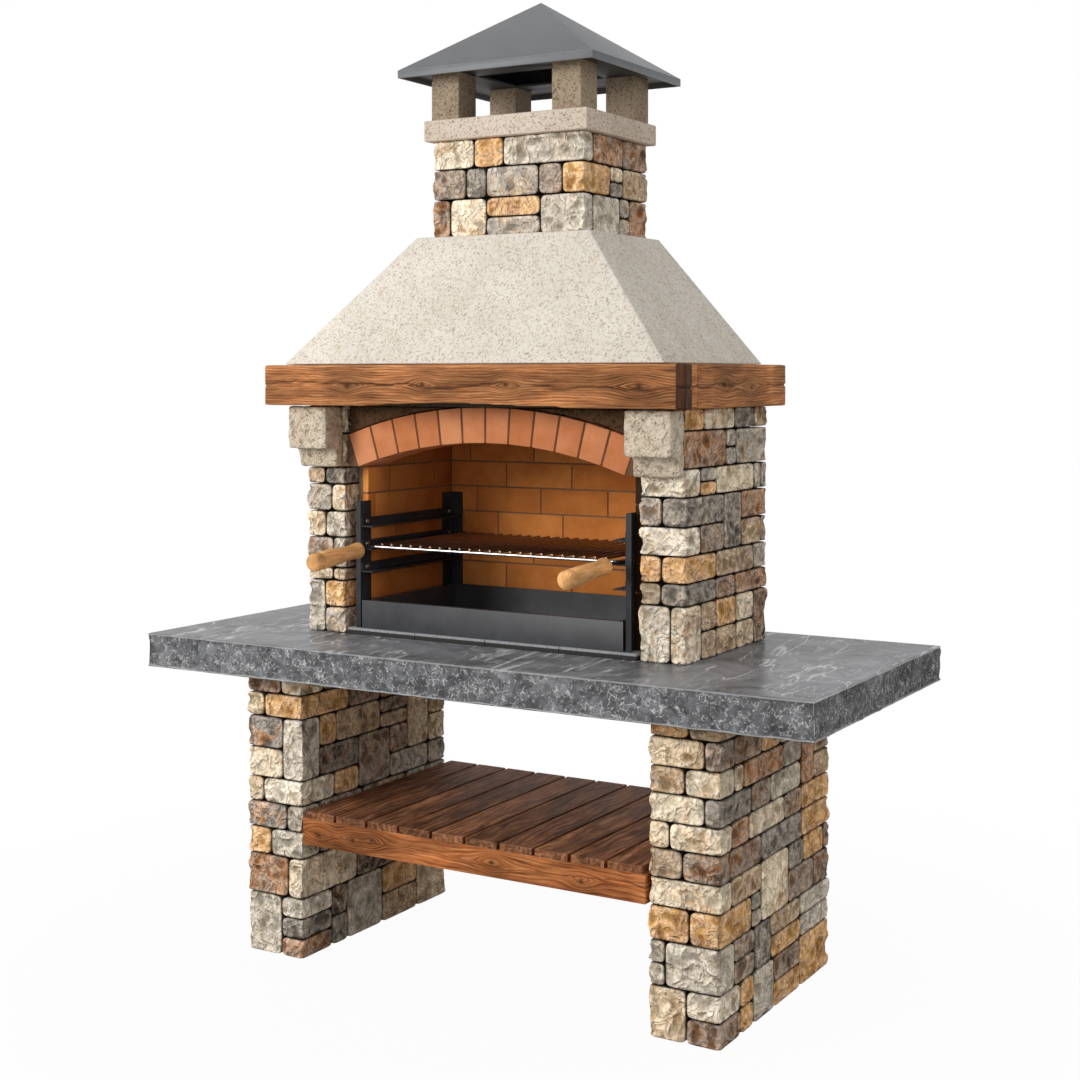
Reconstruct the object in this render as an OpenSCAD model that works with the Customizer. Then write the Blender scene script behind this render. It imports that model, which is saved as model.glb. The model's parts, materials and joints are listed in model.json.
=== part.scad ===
// Masonry garden barbecue: two stone legs, a stone worktop, a brick-lined firebox between
// stone piers, a brick arch under a timber mantel, a cast hood and a stone chimney with a cowl.
// Millimetres, +Z up, origin on the ground under the middle of the worktop, front towards -Y.

/* [Worktop] */
// Length of the stone worktop
slab_w = 1800; // [1600:10:2400]
// Depth of the stone worktop
slab_d = 830; // [760:10:1100]
// Thickness of the stone worktop
slab_t = 84; // [40:1:120]

/* [Legs] */
// Height of the stone legs
leg_h = 706; // [600:1:900]
// Width of one leg
leg_w = 184; // [140:1:260]
// Depth of one leg
leg_d = 650; // [500:10:740]
// Clear width between the two legs
leg_gap = 944; // [800:1:1200]

/* [Stone facing] */
// Thickness of the stones round a core
stone_t = 40; // [25:1:40]
// Open joint between two stones
stone_joint = 5; // [2:1:10]

/* [Shelf] */
// Height of the top of the wooden shelf
shelf_z = 372; // [250:1:500]
// Thickness of a shelf slat
slat_t = 17; // [12:1:30]
// Number of shelf slats
slat_n = 10; // [6:1:12]
// Gap between two slats
slat_gap = 9; // [4:1:20]
// Height of a shelf rail
shelf_rail_h = 65; // [40:1:90]
// Thickness of a shelf rail
shelf_rail_t = 45; // [30:1:70]
// Setback of the shelf from the front and the back of the legs
shelf_inset = 3; // [0:1:20]

/* [Firebox] */
// Sideways place of the firebox, seen from the middle of the worktop
fire_shift = -45; // [-120:5:120]
// Clear width between the two piers
fire_w = 822; // [760:1:900]
// Width of one pier
pier_w = 133; // [110:1:180]
// Depth of the piers
pier_d = 474; // [420:1:560]
// Height of the piers above the worktop
pier_h = 578; // [540:1:700]
// Distance from the back of the piers to the back of the worktop
pier_back = 109; // [20:1:120]
// Thickness of the hearth tiles
hearth_t = 16; // [10:1:30]
// Number of hearth tiles from side to side
hearth_n = 4; // [2:1:6]
// Distance from the front of the piers to the front of the hearth tiles
hearth_set = 8; // [4:1:30]

/* [Brick lining] */
// Height of a lining brick
brick_h = 64; // [50:1:70]
// Length of a lining brick
brick_l = 198; // [150:1:230]
// Mortar joint between lining bricks
brick_joint = 4; // [3:1:8]
// Thickness of the side lining with its mortar bed
side_lining_t = 29; // [24:1:40]
// Thickness of the back lining with its mortar bed
back_lining_t = 34; // [26:1:50]
// How far the brick faces stand proud of their mortar
brick_proud = 3; // [1:1:6]
// Depth of a brick in its mortar bed
brick_bed = 15; // [8:1:18]
// Distance from the front of the piers to the front of the side lining
lining_set = 57; // [40:1:80]

/* [Arch] */
// Number of arch bricks
arch_n = 12; // [9:1:17]
// Height of an arch brick
arch_ring = 86; // [60:1:100]
// Depth of an arch brick from front to back
arch_d = 110; // [80:1:150]
// Angle from the crown to the end of the arch
arch_angle = 20; // [14:1:22]
// Mortar joint between arch bricks
arch_joint = 5; // [3:1:8]
// Distance from the front of the piers to the front of the arch
arch_set = 10; // [6:1:30]

/* [Corbels] */
// Width of a corbel
corbel_w = 124; // [90:1:133]
// Height of the upper step of a corbel
corbel_top_h = 110; // [80:1:140]
// Height of the lower step of a corbel
corbel_low_h = 47; // [30:1:70]
// Reach of the upper step in front of the pier
corbel_top_reach = 76; // [50:1:95]
// Reach of the lower step in front of the pier, at its top
corbel_low_reach = 34; // [20:1:50]
// How much the lower step draws in towards its foot
corbel_taper = 8; // [0:1:15]

/* [Timber mantel] */
// Height of the mantel beams
beam_h = 103; // [80:1:140]
// Thickness of the front beam
beam_t = 80; // [60:1:100]
// Thickness of the side beams
side_beam_t = 100; // [80:1:110]
// Distance from the front of the piers to the front of the beam
beam_reach = 110; // [100:1:140]
// Distance from the outer face of a pier to the outer face of its beam
beam_over = 43; // [20:1:60]
// Height of the shallow hollow under the front beam
beam_relief = 9; // [4:1:15]
// Width of the shallow hollow under the front beam
beam_relief_w = 540; // [300:10:700]

/* [Hood] */
// Width of the foot of the hood
hood_w = 1064; // [1020:1:1080]
// Distance from the front of the beam to the foot of the hood
hood_set = 16; // [8:1:25]
// Distance from the back of the piers to the back of the hood
hood_back = 26; // [10:1:40]
// Height of the hood
hood_h = 317; // [250:1:420]
// Wall of the hood
hood_wall = 50; // [35:1:55]
// Height of the straight throat in the top of the hood
hood_throat = 60; // [40:1:100]
// Ledge of the hood round the foot of the chimney
hood_ledge = 24; // [10:1:40]

/* [Chimney] */
// Width of the chimney
stack_w = 448; // [420:1:520]
// Depth of the chimney
stack_d = 346; // [320:1:380]
// Height of the stone part of the chimney
stack_h = 241; // [180:1:500]
// Width of the flue
flue_w = 290; // [200:1:300]
// Depth of the flue
flue_d = 190; // [150:1:200]
// Thickness of the slab on the chimney
cap_t = 52; // [30:1:80]
// Overhang of the slab on the chimney
cap_over = 10; // [0:1:30]

/* [Cowl] */
// Side of a square cowl post
post_s = 80; // [60:1:90]
// Height of the cowl posts
post_h = 116; // [60:1:160]
// Distance from the side of the chimney slab to a post
post_inset_x = 20; // [5:1:30]
// Distance from the front of the chimney slab to a post
post_inset_y = 7; // [2:1:20]
// Overhang of the cowl past the slab below it
cowl_over_x = 43; // [20:1:70]
// Overhang of the cowl at the front and the back
cowl_over_y = 52; // [20:1:70]
// Height of the folded rim of the cowl
cowl_rim = 19; // [10:1:30]
// Height of the roof of the cowl above its rim
cowl_h = 182; // [120:1:260]
// Thickness of the cowl's steel
cowl_t = 4; // [2:1:6]
// Thickness of the plate that carries the cowl
cowl_plate_t = 6; // [4:1:8]
// Diameter of the studs that hold the cowl's plate
stud_d = 12; // [8:1:16]

/* [Grill frame] */
// Depth of a frame upright from front to back
post_leg_d = 45; // [30:1:60]
// Width of the flange of a front upright
post_flange = 14; // [10:1:16]
// Height of the frame uprights above the hearth
upright_h = 320; // [280:1:380]
// Thickness of the frame's steel
steel_t = 3; // [2:1:4]
// Height of a frame rail
rail_h = 20; // [18:1:35]
// Width of the ledge of a frame rail
rail_ledge = 35; // [25:1:45]
// Height of the lowest rail's ledge above the hearth
rail_z = 144; // [110:1:170]
// Distance from one rail level to the next
rail_pitch = 57; // [45:1:70]
// Diameter of the frame's bolts
bolt_d = 6; // [4:1:8]

/* [Cooking grill] */
// Rail level that holds the grill, counted from the lowest
grill_level = 1; // [0:1:2]
// Number of grill rods from side to side
rod_n = 23; // [15:1:31]
// Diameter of a grill rod
rod_d = 6; // [4:0.5:8]
// Diameter of the grill's frame bars
bar_d = 8; // [6:0.5:10]
// Length of a turned grip
grip_l = 200; // [120:1:220]
// Diameter of a turned grip
grip_d = 44; // [34:1:48]
// Diameter of the waist behind the grip's inner bulb
grip_waist_d = 36; // [20:1:40]
// Slope of the handles in degrees
grip_slope = 4.5; // [0:0.5:8]

/* [Charcoal tray] */
// Height of the tray's walls
tray_h = 70; // [40:1:90]
// Thickness of the tray's steel
tray_t = 2; // [1.5:0.5:3]
// Width of the folded lip on the tray's front
tray_lip = 16; // [8:1:20]
// How far the tray's front reaches past its sides
tray_flange = 12; // [4:1:14]

/* [Hidden] */
// Gap between parts that slide past each other
slide_gap = 0.3;
// Side clearance of the grill and the tray
side_gap = 18;
// How far a cut runs past the face that it opens
over = 1;

$fn = 48;

// Rows of stones from the top down: height, front stones, right side stones.
// A stone is the share of the face at which it ends and the rows that it spans:
// 2 spans two rows, 0 is covered from the row above, 0.5 is two stones on each other.
leg_right_rows = [
    [45, [[.55, 1], [1, 1]], [[.2, 1], [.45, 1], [.7, 1], [1, 1]]],
    [64, [[.77, 1], [1, 1]], [[.128, 1], [.357, 1], [.52, 1], [.8, 1], [1, 1]]],
    [59, [[.5, 1], [1, 1]], [[.128, 1], [.205, 1], [.55, 1], [.72, 1], [.84, 2], [1, 1]]],
    [62, [[.76, 1], [1, 1]], [[.27, 1], [.434, 1], [.71, 1], [.84, 0], [1, 1]]],
    [59, [[.3, 1], [1, 1]], [[.107, 1], [.25, 1], [.56, 1], [.72, 1], [1, 1]]],
    [64, [[.47, 1], [1, 1]], [[.357, 1], [.72, 1], [1, 1]]],
    [62, [[1, 1]], [[.107, 1], [.357, 1], [.6, 2], [.74, 1], [1, 1]]],
    [75, [[.56, 1], [1, 1]], [[.272, 1], [.357, .5], [.6, 0], [.84, 1], [1, 1]]],
    [100, [[.24, .5], [1, 1]], [[.128, 1], [.3, .5], [.44, 1], [.71, .5], [1, 1]]],
    [116, [[.52, 1], [1, .5]], [[.18, 1], [.29, .5], [.466, 1], [.71, .5], [1, 1]]]];
leg_left_rows = [
    [54, [[.6, 1], [1, 1]], [[.15, 1], [.31, 1], [.52, 1], [.75, 1], [1, 1]]],
    [59, [[.32, 1], [1, 1]], [[.31, 1], [.52, 1], [.71, 1], [1, 1]]],
    [79, [[.63, 1], [1, 2]], [[.125, 1], [.228, 1], [.518, 1], [.71, .5], [.86, 2], [1, 1]]],
    [74, [[.63, 1], [1, 0]], [[.125, 1], [.374, 1], [.585, 2], [.71, 1], [.86, 0], [1, 1]]],
    [62, [[.3, 1], [1, 1]], [[.216, 1], [.374, 1], [.585, 0], [.859, 1], [1, 1]]],
    [64, [[.7, 1], [1, 1]], [[.12, 1], [.4, 1], [.7, 1], [1, 1]]],
    [67, [[.43, 1], [1, 1]], [[.125, 1], [.31, 1], [.6, 1], [1, 1]]],
    [99, [[.72, 1], [1, 1]], [[.361, 1], [.64, 1], [.859, .5], [1, 1]]],
    [148, [[.6, 1], [1, .33]], [[.2, 1], [.3, .5], [.53, 1], [.774, .5], [1, 1]]]];
pier_right_rows = [
    [50, [[.5, 1], [1, 1]], [[.22, 1], [.58, 1], [.82, 1], [1, 1]]],
    [86, [[.5, 1], [1, 1]], [[.475, 1], [.6, .5], [1, 1]]],
    [65, [[1, 1]], [[.18, 1], [.36, .5], [.82, 1], [1, 1]]],
    [67, [[.48, 1], [1, 1]], [[.455, 1], [.662, 2], [1, 1]]],
    [66, [[1, 1]], [[.18, 1], [.455, 1], [.662, 0], [1, 1]]],
    [62, [[.47, 1], [1, 1]], [[.36, 1], [.815, 1], [1, 1]]],
    [51, [[.46, 1], [1, 1]], [[.36, 1], [.59, 1], [1, 1]]],
    [131, [[.64, 1], [1, 1]], [[.19, 1], [.36, .5], [.6, .5], [.82, .5], [1, 1]]]];
pier_left_rows = [
    [71, [[.5, 1], [1, 1]], [[.3, 1], [.55, 1], [.8, 1], [1, 1]]],
    [86, [[.5, 1], [1, 1]], [[.4, 1], [.6, .5], [1, 1]]],
    [43, [[.47, 1], [1, 1]], [[.2, 1], [.5, 1], [.8, 1], [1, 1]]],
    [69, [[.62, 1], [1, 1]], [[.35, 1], [.6, 1], [.78, 2], [1, 1]]],
    [66, [[.48, 1], [1, 1]], [[.2, 1], [.45, .5], [.6, 1], [.78, 0], [1, 1]]],
    [78, [[.67, 1], [1, .5]], [[.3, 1], [.7, 1], [1, 1]]],
    [32, [[.66, 1], [1, 1]], [[.4, 1], [.6, 1], [1, 1]]],
    [133, [[.46, 1], [1, .5]], [[.2, 1], [.4, .5], [.7, 1], [1, 1]]]];
chimney_rows = [
    [72, [[.285, 1], [.475, 1], [1, 1]], [[.155, 1], [.6, 1], [1, 1]]],
    [75, [[.233, 1], [.366, 1], [.7, 1], [.847, 1], [1, 1]], [[.405, 1], [.6, .5], [1, 1]]],
    [94, [[.13, 1], [.365, 1], [.71, .5], [1, 1]], [[.155, 1], [.55, 1], [.7, .5], [1, 1]]]];
// Where the first upright joint of each lining course lies, repeated up the wall
bond_starts = [150, 82, 176, 60];

top_z = leg_h + slab_t;
slat_w = (leg_gap - (slat_n + 1) * slat_gap) / slat_n;
shelf_d = leg_d - 2 * shelf_inset;
shelf_rail_z = shelf_z - slat_t - shelf_rail_h;
screw_d = 5;
screw_grip = 10;
screw_head_d = 10;
screw_head_h = 4;
screw_depth = 25;
screw_z = shelf_rail_z + shelf_rail_h - screw_depth;
screw_y = (shelf_d - shelf_rail_t) / 2;

pier_y1 = slab_d / 2 - pier_back;
pier_y0 = pier_y1 - pier_d;
pier_x = fire_w / 2;
lining_x = pier_x - side_lining_t;
lining_y0 = pier_y0 + lining_set;
lining_y1 = pier_y1 - back_lining_t;
course = brick_h + brick_joint;
arch_gap = 3;
arch_r1 = (pier_x - arch_gap) / sin(arch_angle);
arch_r0 = arch_r1 - arch_ring;
crown_bed = 1.25;
arch_zc = pier_h - crown_bed - arch_r1;
spring_z = arch_zc + arch_r0 * cos(arch_angle);
arch_y0 = pier_y0 + arch_set;
arch_step = 2 * arch_angle / arch_n;
arch_joint_deg = arch_joint / arch_r0 * 180 / PI;
mortar_back = 3;
spandrel_set = 4;
tile_gap = 1;
shortest_brick = 25;
lowest_brick = 5;

beam_x = pier_x + pier_w + beam_over;
beam_y0 = pier_y0 - beam_reach;
beam_z1 = pier_h + beam_h;
collar_x = beam_x - side_beam_t;
collar_y0 = beam_y0 + beam_t;
collar_wall = 90;
collar_back = hood_back + hood_wall;

hood_y0 = beam_y0 + hood_set;
hood_y1 = pier_y1 - hood_back;
hood_z1 = beam_z1 + hood_h;
stack_y1 = hood_y1;
stack_y0 = stack_y1 - stack_d;
stack_y = (stack_y0 + stack_y1) / 2;
stack_z1 = hood_z1 + stack_h;
cap_z1 = stack_z1 + cap_t;
cap_w = stack_w + 2 * cap_over;
cap_d = stack_d + 2 * cap_over;
post_x = cap_w / 2 - post_inset_x - post_s / 2;
post_y = cap_d / 2 - post_inset_y - post_s / 2;
post_z1 = cap_z1 + post_h;
roof_z0 = post_z1 + cowl_plate_t - cowl_rim;
cowl_w = cap_w + 2 * cowl_over_x;
cowl_d = cap_d + 2 * cowl_over_y;
stud_l = 60;
nut_d = 20;
nut_h = 8;

frame_set = 18;
web_x = lining_x - 1 - steel_t;
upright_y0 = pier_y0 + frame_set;
upright_y1 = lining_y1 - 2;
back_flange = 36;
rail_x = web_x - steel_t;
rail_y0 = upright_y0 + steel_t;
rail_y1 = upright_y1 - steel_t - 5;
bolt_y = [upright_y0 + post_leg_d / 2, upright_y1 - post_leg_d / 2];
bolt_head_d = 12;
bolt_head_h = 4;

grill_x = rail_x - side_gap - bar_d;
grill_y0 = upright_y0 + 19;
grill_y1 = rail_y1 - 22;
grill_z = hearth_t + rail_z + grill_level * rail_pitch + slide_gap + bar_d / 2;
handle_y = rail_y0 - bar_d / 2;
handle_run = 38;
grip_bore_l = 60;
bulb_d = 41;
bulb_l = 24;
waist_z = 42;
belly_z = 150;
groove_z = grip_l - 34;
groove_w = 6;
groove_depth = 2;
dome_l = 14;

tray_x = web_x - side_gap;
tray_y0 = upright_y0;
tray_y1 = upright_y1 - 12;
tray_z = hearth_t + slide_gap;

// Adds up the first n row heights
function rows_above(rows, n) = n == 0 ? 0 : rows[n - 1][0] + rows_above(rows, n - 1);
// Height of the top of row i on a face of height h
function row_top(rows, i, h) = h * (1 - rows_above(rows, i) / rows_above(rows, len(rows)));
// Place of an upright joint, kept clear of the corner stones
function joint_at(length, share) =
    share <= 0 ? 0 :
    share >= 1 ? length :
    max(stone_t + stone_joint, min(length - stone_t - stone_joint, length * share));
function cell_start(cells, j, length) = j == 0 ? 0 : joint_at(length, cells[j - 1][0]) + stone_joint / 2;
function cell_end(cells, j, length) =
    j == len(cells) - 1 ? length : joint_at(length, cells[j][0]) - stone_joint / 2;

// Stones between two heights, one or more on each other
module stones_between(z0, z1, span) {
    count = span < 1 ? round(1 / span) : 1;
    step = (z1 - z0 + stone_joint) / count;
    for (k = [0:count - 1])
        translate([0, 0, z0 + k * step])
            linear_extrude(step - stone_joint)
                children();
}

// The stones of one row's cell, from its own row down over the rows that it spans
module cell_stones(rows, i, h, span) {
    below = i + max(1, floor(span));
    z1 = i == 0 ? h : row_top(rows, i, h) - stone_joint / 2;
    z0 = below == len(rows) ? 0 : row_top(rows, below, h) + stone_joint / 2;
    if (span > 0)
        stones_between(z0, z1, span)
            children();
}

// Front and right side stones of a square pier, with the stones that turn its two front corners
module half_facing(w, d, h, rows) {
    for (i = [0:len(rows) - 1]) {
        front = rows[i][1];
        side = rows[i][2];
        last = len(front) - 1;
        side_last = len(side) - 1;
        whole = last == 0;
        right_reach = cell_end(side, 0, d);
        left_reach = d - cell_start(side, side_last, d);
        for (j = [0:last]) {
            x0 = cell_start(front, j, w);
            x1 = cell_end(front, j, w);
            cell_stones(rows, i, h, front[j][1])
                union() {
                    translate([x0, 0])
                        square([x1 - x0, stone_t]);
                    if (j == last)
                        translate([w - stone_t, 0])
                            square([stone_t, right_reach]);
                    if (j == 0 && !whole)
                        square([stone_t, left_reach]);
                }
        }
        if (side_last > 1)
            for (k = [1:side_last - 1])
                cell_stones(rows, i, h, side[k][1])
                    translate([w - stone_t, cell_start(side, k, d)])
                        square([stone_t, cell_end(side, k, d) - cell_start(side, k, d)]);
        if (whole) {
            y0 = cell_start(side, side_last, d);
            cell_stones(rows, i, h, 1)
                translate([w - stone_t, y0])
                    square([stone_t, d - stone_t - stone_joint - y0]);
        }
    }
}

// Stone facing all round: the back half is the front half turned round
module facing(w, d, h, rows) {
    half_facing(w, d, h, rows);
    translate([w, d, 0])
        rotate(180)
            half_facing(w, d, h, rows);
}

module core(w, d, h) {
    translate([stone_t, stone_t, 0])
        cube([w - 2 * stone_t, d - 2 * stone_t, h]);
}

module at_leg(side) {
    translate([side < 0 ? -leg_gap / 2 - leg_w : leg_gap / 2, -leg_d / 2, 0])
        children();
}

module leg_left_core() {
    color("dimgray") at_leg(-1) core(leg_w, leg_d, leg_h);
}

module leg_right_core() {
    color("dimgray") at_leg(1) core(leg_w, leg_d, leg_h);
}

module leg_left_stones() {
    color([.80, .70, .54]) at_leg(-1) facing(leg_w, leg_d, leg_h, leg_left_rows);
}

module leg_right_stones() {
    color([.80, .70, .54]) at_leg(1) facing(leg_w, leg_d, leg_h, leg_right_rows);
}

module worktop_slab() {
    color([.45, .46, .48])
        translate([-slab_w / 2, -slab_d / 2, leg_h])
            cube([slab_w, slab_d, slab_t]);
}

function slat_x(i) = -leg_gap / 2 + slat_gap + (i - 1) * (slat_w + slat_gap);

// Puts its children on the middle line of each slat, at the height of the screw heads
module at_screws(y) {
    for (i = [1:slat_n])
        translate([slat_x(i) + slat_w / 2, y, screw_z])
            children();
}

module shelf_rail(side) {
    color([.56, .31, .18])
        difference() {
            translate([-leg_gap / 2, side * screw_y - shelf_rail_t / 2, shelf_rail_z])
                cube([leg_gap, shelf_rail_t, shelf_rail_h]);
            at_screws(side * screw_y) {
                translate([0, 0, shelf_rail_z - over - screw_z])
                    cylinder(d = screw_head_d, h = screw_z + over - shelf_rail_z);
                cylinder(d = screw_d, h = screw_depth + over);
            }
        }
}

module shelf_front_rail() {
    shelf_rail(-1);
}

module shelf_back_rail() {
    shelf_rail(1);
}

module shelf_slat(i) {
    color([.38, .24, .17])
        difference() {
            translate([slat_x(i), -shelf_d / 2, shelf_z - slat_t])
                cube([slat_w, shelf_d, slat_t]);
            for (side = [-1, 1])
                translate([slat_x(i) + slat_w / 2, side * screw_y, screw_z])
                    cylinder(d = screw_d, h = screw_depth + screw_grip);
        }
}

module shelf_screws() {
    color("silver")
        for (side = [-1, 1])
            at_screws(side * screw_y) {
                cylinder(d = screw_d, h = screw_depth + screw_grip);
                translate([0, 0, -screw_head_h])
                    cylinder(d = screw_head_d, h = screw_head_h);
            }
}

// Moves into the firebox frame: x from its middle, z from the worktop's top
module at_fire() {
    translate([fire_shift, 0, top_z])
        children();
}

module at_pier(side) {
    at_fire()
        translate([side < 0 ? -pier_x - pier_w : pier_x, pier_y0, 0])
            children();
}

module pier_left_core() {
    color("dimgray") at_pier(-1) core(pier_w, pier_d, pier_h);
}

module pier_right_core() {
    color("dimgray") at_pier(1) core(pier_w, pier_d, pier_h);
}

module pier_left_stones() {
    color([.80, .70, .54]) at_pier(-1) facing(pier_w, pier_d, pier_h, pier_left_rows);
}

module pier_right_stones() {
    color([.80, .70, .54]) at_pier(1) facing(pier_w, pier_d, pier_h, pier_right_rows);
}

module hearth_tiles() {
    tile_w = fire_w / hearth_n;
    color([.72, .66, .58])
        at_fire()
            for (i = [0:hearth_n - 1])
                translate([-pier_x + i * tile_w + tile_gap / 2, pier_y0 + hearth_set, 0])
                    cube([tile_w - tile_gap, pier_d - hearth_set, hearth_t]);
}

// Bricks of one wall as boxes along X, thickness along Y, laid from z0 up to z1
module brick_wall(length, depth, z0, z1, first_row) {
    rows = ceil((z1 - z0) / course);
    for (r = [0:rows - 1]) {
        bottom = z0 + r * course;
        top = min(bottom + brick_h, z1);
        start = bond_starts[(r + first_row) % len(bond_starts)];
        pitch = brick_l + brick_joint;
        ends = concat([0], [for (x = start; x < length - shortest_brick; x = x + pitch) x], [length]);
        if (top - bottom > lowest_brick)
            for (k = [0:len(ends) - 2]) {
                left = ends[k] + (k == 0 ? 0 : brick_joint / 2);
                right = ends[k + 1] - (k == len(ends) - 2 ? 0 : brick_joint / 2);
                translate([left, 0, bottom])
                    cube([right - left, depth, top - bottom]);
            }
    }
}

// Side lining seen from inside: bricks along the wall, in the firebox frame
module side_bricks(side) {
    low_l = lining_y1 - lining_y0;
    high_l = lining_y1 - arch_y0 - arch_d;
    depth = brick_bed + brick_proud;
    x0 = side < 0 ? -lining_x - depth : lining_x;
    at_fire()
        translate([x0, lining_y1, 0])
            rotate(-90) {
                brick_wall(low_l, depth, hearth_t, spring_z - brick_joint, 0);
                brick_wall(high_l, depth, spring_z, pier_h, round((spring_z - hearth_t) / course));
            }
}

module side_mortar(side) {
    x0 = lining_x + brick_proud;
    t = side_lining_t - brick_proud;
    at_fire()
        for (part = [[lining_y0, hearth_t, spring_z], [arch_y0 + arch_d, spring_z, pier_h]])
            translate([side < 0 ? -x0 - t : x0, part[0], part[1]])
                cube([t, lining_y1 - part[0] + brick_proud, part[2] - part[1]]);
}

module lining_left_bricks() {
    color([.70, .44, .24]) side_bricks(-1);
}

module lining_right_bricks() {
    color([.70, .44, .24]) side_bricks(1);
}

module lining_left_mortar() {
    color([.62, .55, .47])
        difference() {
            side_mortar(-1);
            side_bricks(-1);
        }
}

module lining_right_mortar() {
    color([.62, .55, .47])
        difference() {
            side_mortar(1);
            side_bricks(1);
        }
}

module back_bricks() {
    at_fire()
        translate([-lining_x, lining_y1, 0])
            brick_wall(2 * lining_x, brick_bed + brick_proud, hearth_t, pier_h, 1);
}

module lining_back_bricks() {
    color([.70, .44, .24]) back_bricks();
}

module lining_back_mortar() {
    color([.62, .55, .47])
        difference() {
            at_fire()
                translate([-pier_x, lining_y1 + brick_proud, hearth_t])
                    cube([fire_w, back_lining_t - brick_proud, pier_h - hearth_t]);
            back_bricks();
        }
}

// Flat sector between two radii and two angles from the crown, drawn in X and Z
module arch_sector(r0, r1, a0, a1, y0, depth) {
    translate([0, y0 + depth, arch_zc])
        rotate([90, 0, 0])
            linear_extrude(depth)
                polygon([r0 * [sin(a0), cos(a0)], r1 * [sin(a0), cos(a0)],
                         r1 * [sin(a1), cos(a1)], r0 * [sin(a1), cos(a1)]]);
}

module arch_bricks() {
    color([.80, .53, .38])
        at_fire()
            for (i = [0:arch_n - 1]) {
                a0 = -arch_angle + i * arch_step + (i == 0 ? 0 : arch_joint_deg / 2);
                a1 = -arch_angle + (i + 1) * arch_step - (i == arch_n - 1 ? 0 : arch_joint_deg / 2);
                arch_sector(arch_r0, arch_r1, a0, a1, arch_y0, arch_d);
            }
}

// Joints of the arch and the wedges that carry its two ends
module arch_mortar() {
    color([.55, .50, .44])
        at_fire() {
            for (i = [1:arch_n - 1]) {
                a = -arch_angle + i * arch_step;
                arch_sector(arch_r0 + mortar_back, arch_r1, a - arch_joint_deg / 2,
                            a + arch_joint_deg / 2, arch_y0 + mortar_back, arch_d - mortar_back);
            }
            for (side = [-1, 1])
                translate([0, arch_y0 + arch_d, 0])
                    rotate([90, 0, 0])
                        linear_extrude(arch_d - mortar_back)
                            polygon([[side * arch_r0 * sin(arch_angle), spring_z],
                                     [side * pier_x, spring_z],
                                     [side * pier_x, arch_zc + sqrt(arch_r1 ^ 2 - pier_x ^ 2)],
                                     [side * arch_r1 * sin(arch_angle),
                                      arch_zc + arch_r1 * cos(arch_angle)]]);
        }
}

// Wall above the arch, cut to the arch's back
module spandrel() {
    color([.55, .49, .42])
        at_fire()
            difference() {
                translate([-pier_x, arch_y0 + spandrel_set, spring_z])
                    cube([fire_w, arch_d - 2 * spandrel_set, pier_h - spring_z]);
                translate([0, arch_y0, arch_zc])
                    rotate([-90, 0, 0])
                        cylinder(r = arch_r1, h = arch_d, $fn = 180);
            }
}

// Stepped bracket in front of a pier, under the front beam, drawn in Y and Z
module corbel(side) {
    top_z = pier_h - corbel_top_h;
    low_z = top_z - corbel_low_h;
    color([.80, .75, .66])
        at_fire()
            translate([side * (pier_x + pier_w / 2) - corbel_w / 2, pier_y0, 0])
                rotate([90, 0, 90])
                    linear_extrude(corbel_w)
                        polygon([[0, pier_h], [-corbel_top_reach, pier_h], [-corbel_top_reach, top_z],
                                 [-corbel_low_reach, top_z], [corbel_taper - corbel_low_reach, low_z],
                                 [0, low_z]]);
}

module corbel_left() {
    corbel(-1);
}

module corbel_right() {
    corbel(1);
}

// Front beam over the whole width, with a shallow hollow under its middle
module beam_front() {
    relief_r = (beam_relief_w ^ 2 / 4 + beam_relief ^ 2) / (2 * beam_relief);
    color([.55, .31, .17])
        at_fire()
            difference() {
                translate([-beam_x, beam_y0, pier_h])
                    cube([2 * beam_x, beam_t, beam_h]);
                translate([0, beam_y0 - over, pier_h + beam_relief - relief_r])
                    rotate([-90, 0, 0])
                        cylinder(r = relief_r, h = beam_t + 2 * over, $fn = 180);
            }
}

module side_beam(side) {
    color([.63, .38, .20])
        at_fire()
            translate([side < 0 ? -beam_x : beam_x - side_beam_t, beam_y0 + beam_t, pier_h])
                cube([side_beam_t, pier_y1 - beam_y0 - beam_t, beam_h]);
}

module beam_left() {
    side_beam(-1);
}

module beam_right() {
    side_beam(1);
}

// Cast ring between the beams that carries the heat away from them
module smoke_collar() {
    color([.72, .68, .62])
        at_fire()
            difference() {
                translate([-collar_x, collar_y0, pier_h])
                    cube([2 * collar_x, pier_y1 - collar_y0, beam_h]);
                translate([-pier_x, collar_y0 + collar_wall, pier_h - over])
                    cube([fire_w, pier_y1 - collar_y0 - collar_wall - collar_back, beam_h + 2 * over]);
            }
}

// Body with sloping sides: a front outline crossed with a side outline.
// A level is its height, its half width, its front and its back.
module sloped_body(low, high) {
    w = max(low[1], high[1]) + over;
    y0 = min(low[2], high[2]) - over;
    y1 = max(low[3], high[3]) + over;
    intersection() {
        translate([0, y1, 0])
            rotate([90, 0, 0])
                linear_extrude(y1 - y0)
                    polygon([[-low[1], low[0]], [low[1], low[0]], [high[1], high[0]],
                             [-high[1], high[0]]]);
        translate([-w, 0, 0])
            rotate([90, 0, 90])
                linear_extrude(2 * w)
                    polygon([[low[2], low[0]], [low[3], low[0]], [high[3], high[0]],
                             [high[2], high[0]]]);
    }
}

module flue_hole(z0, z1) {
    translate([-flue_w / 2, stack_y - flue_d / 2, z0])
        cube([flue_w, flue_d, z1 - z0]);
}

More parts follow.
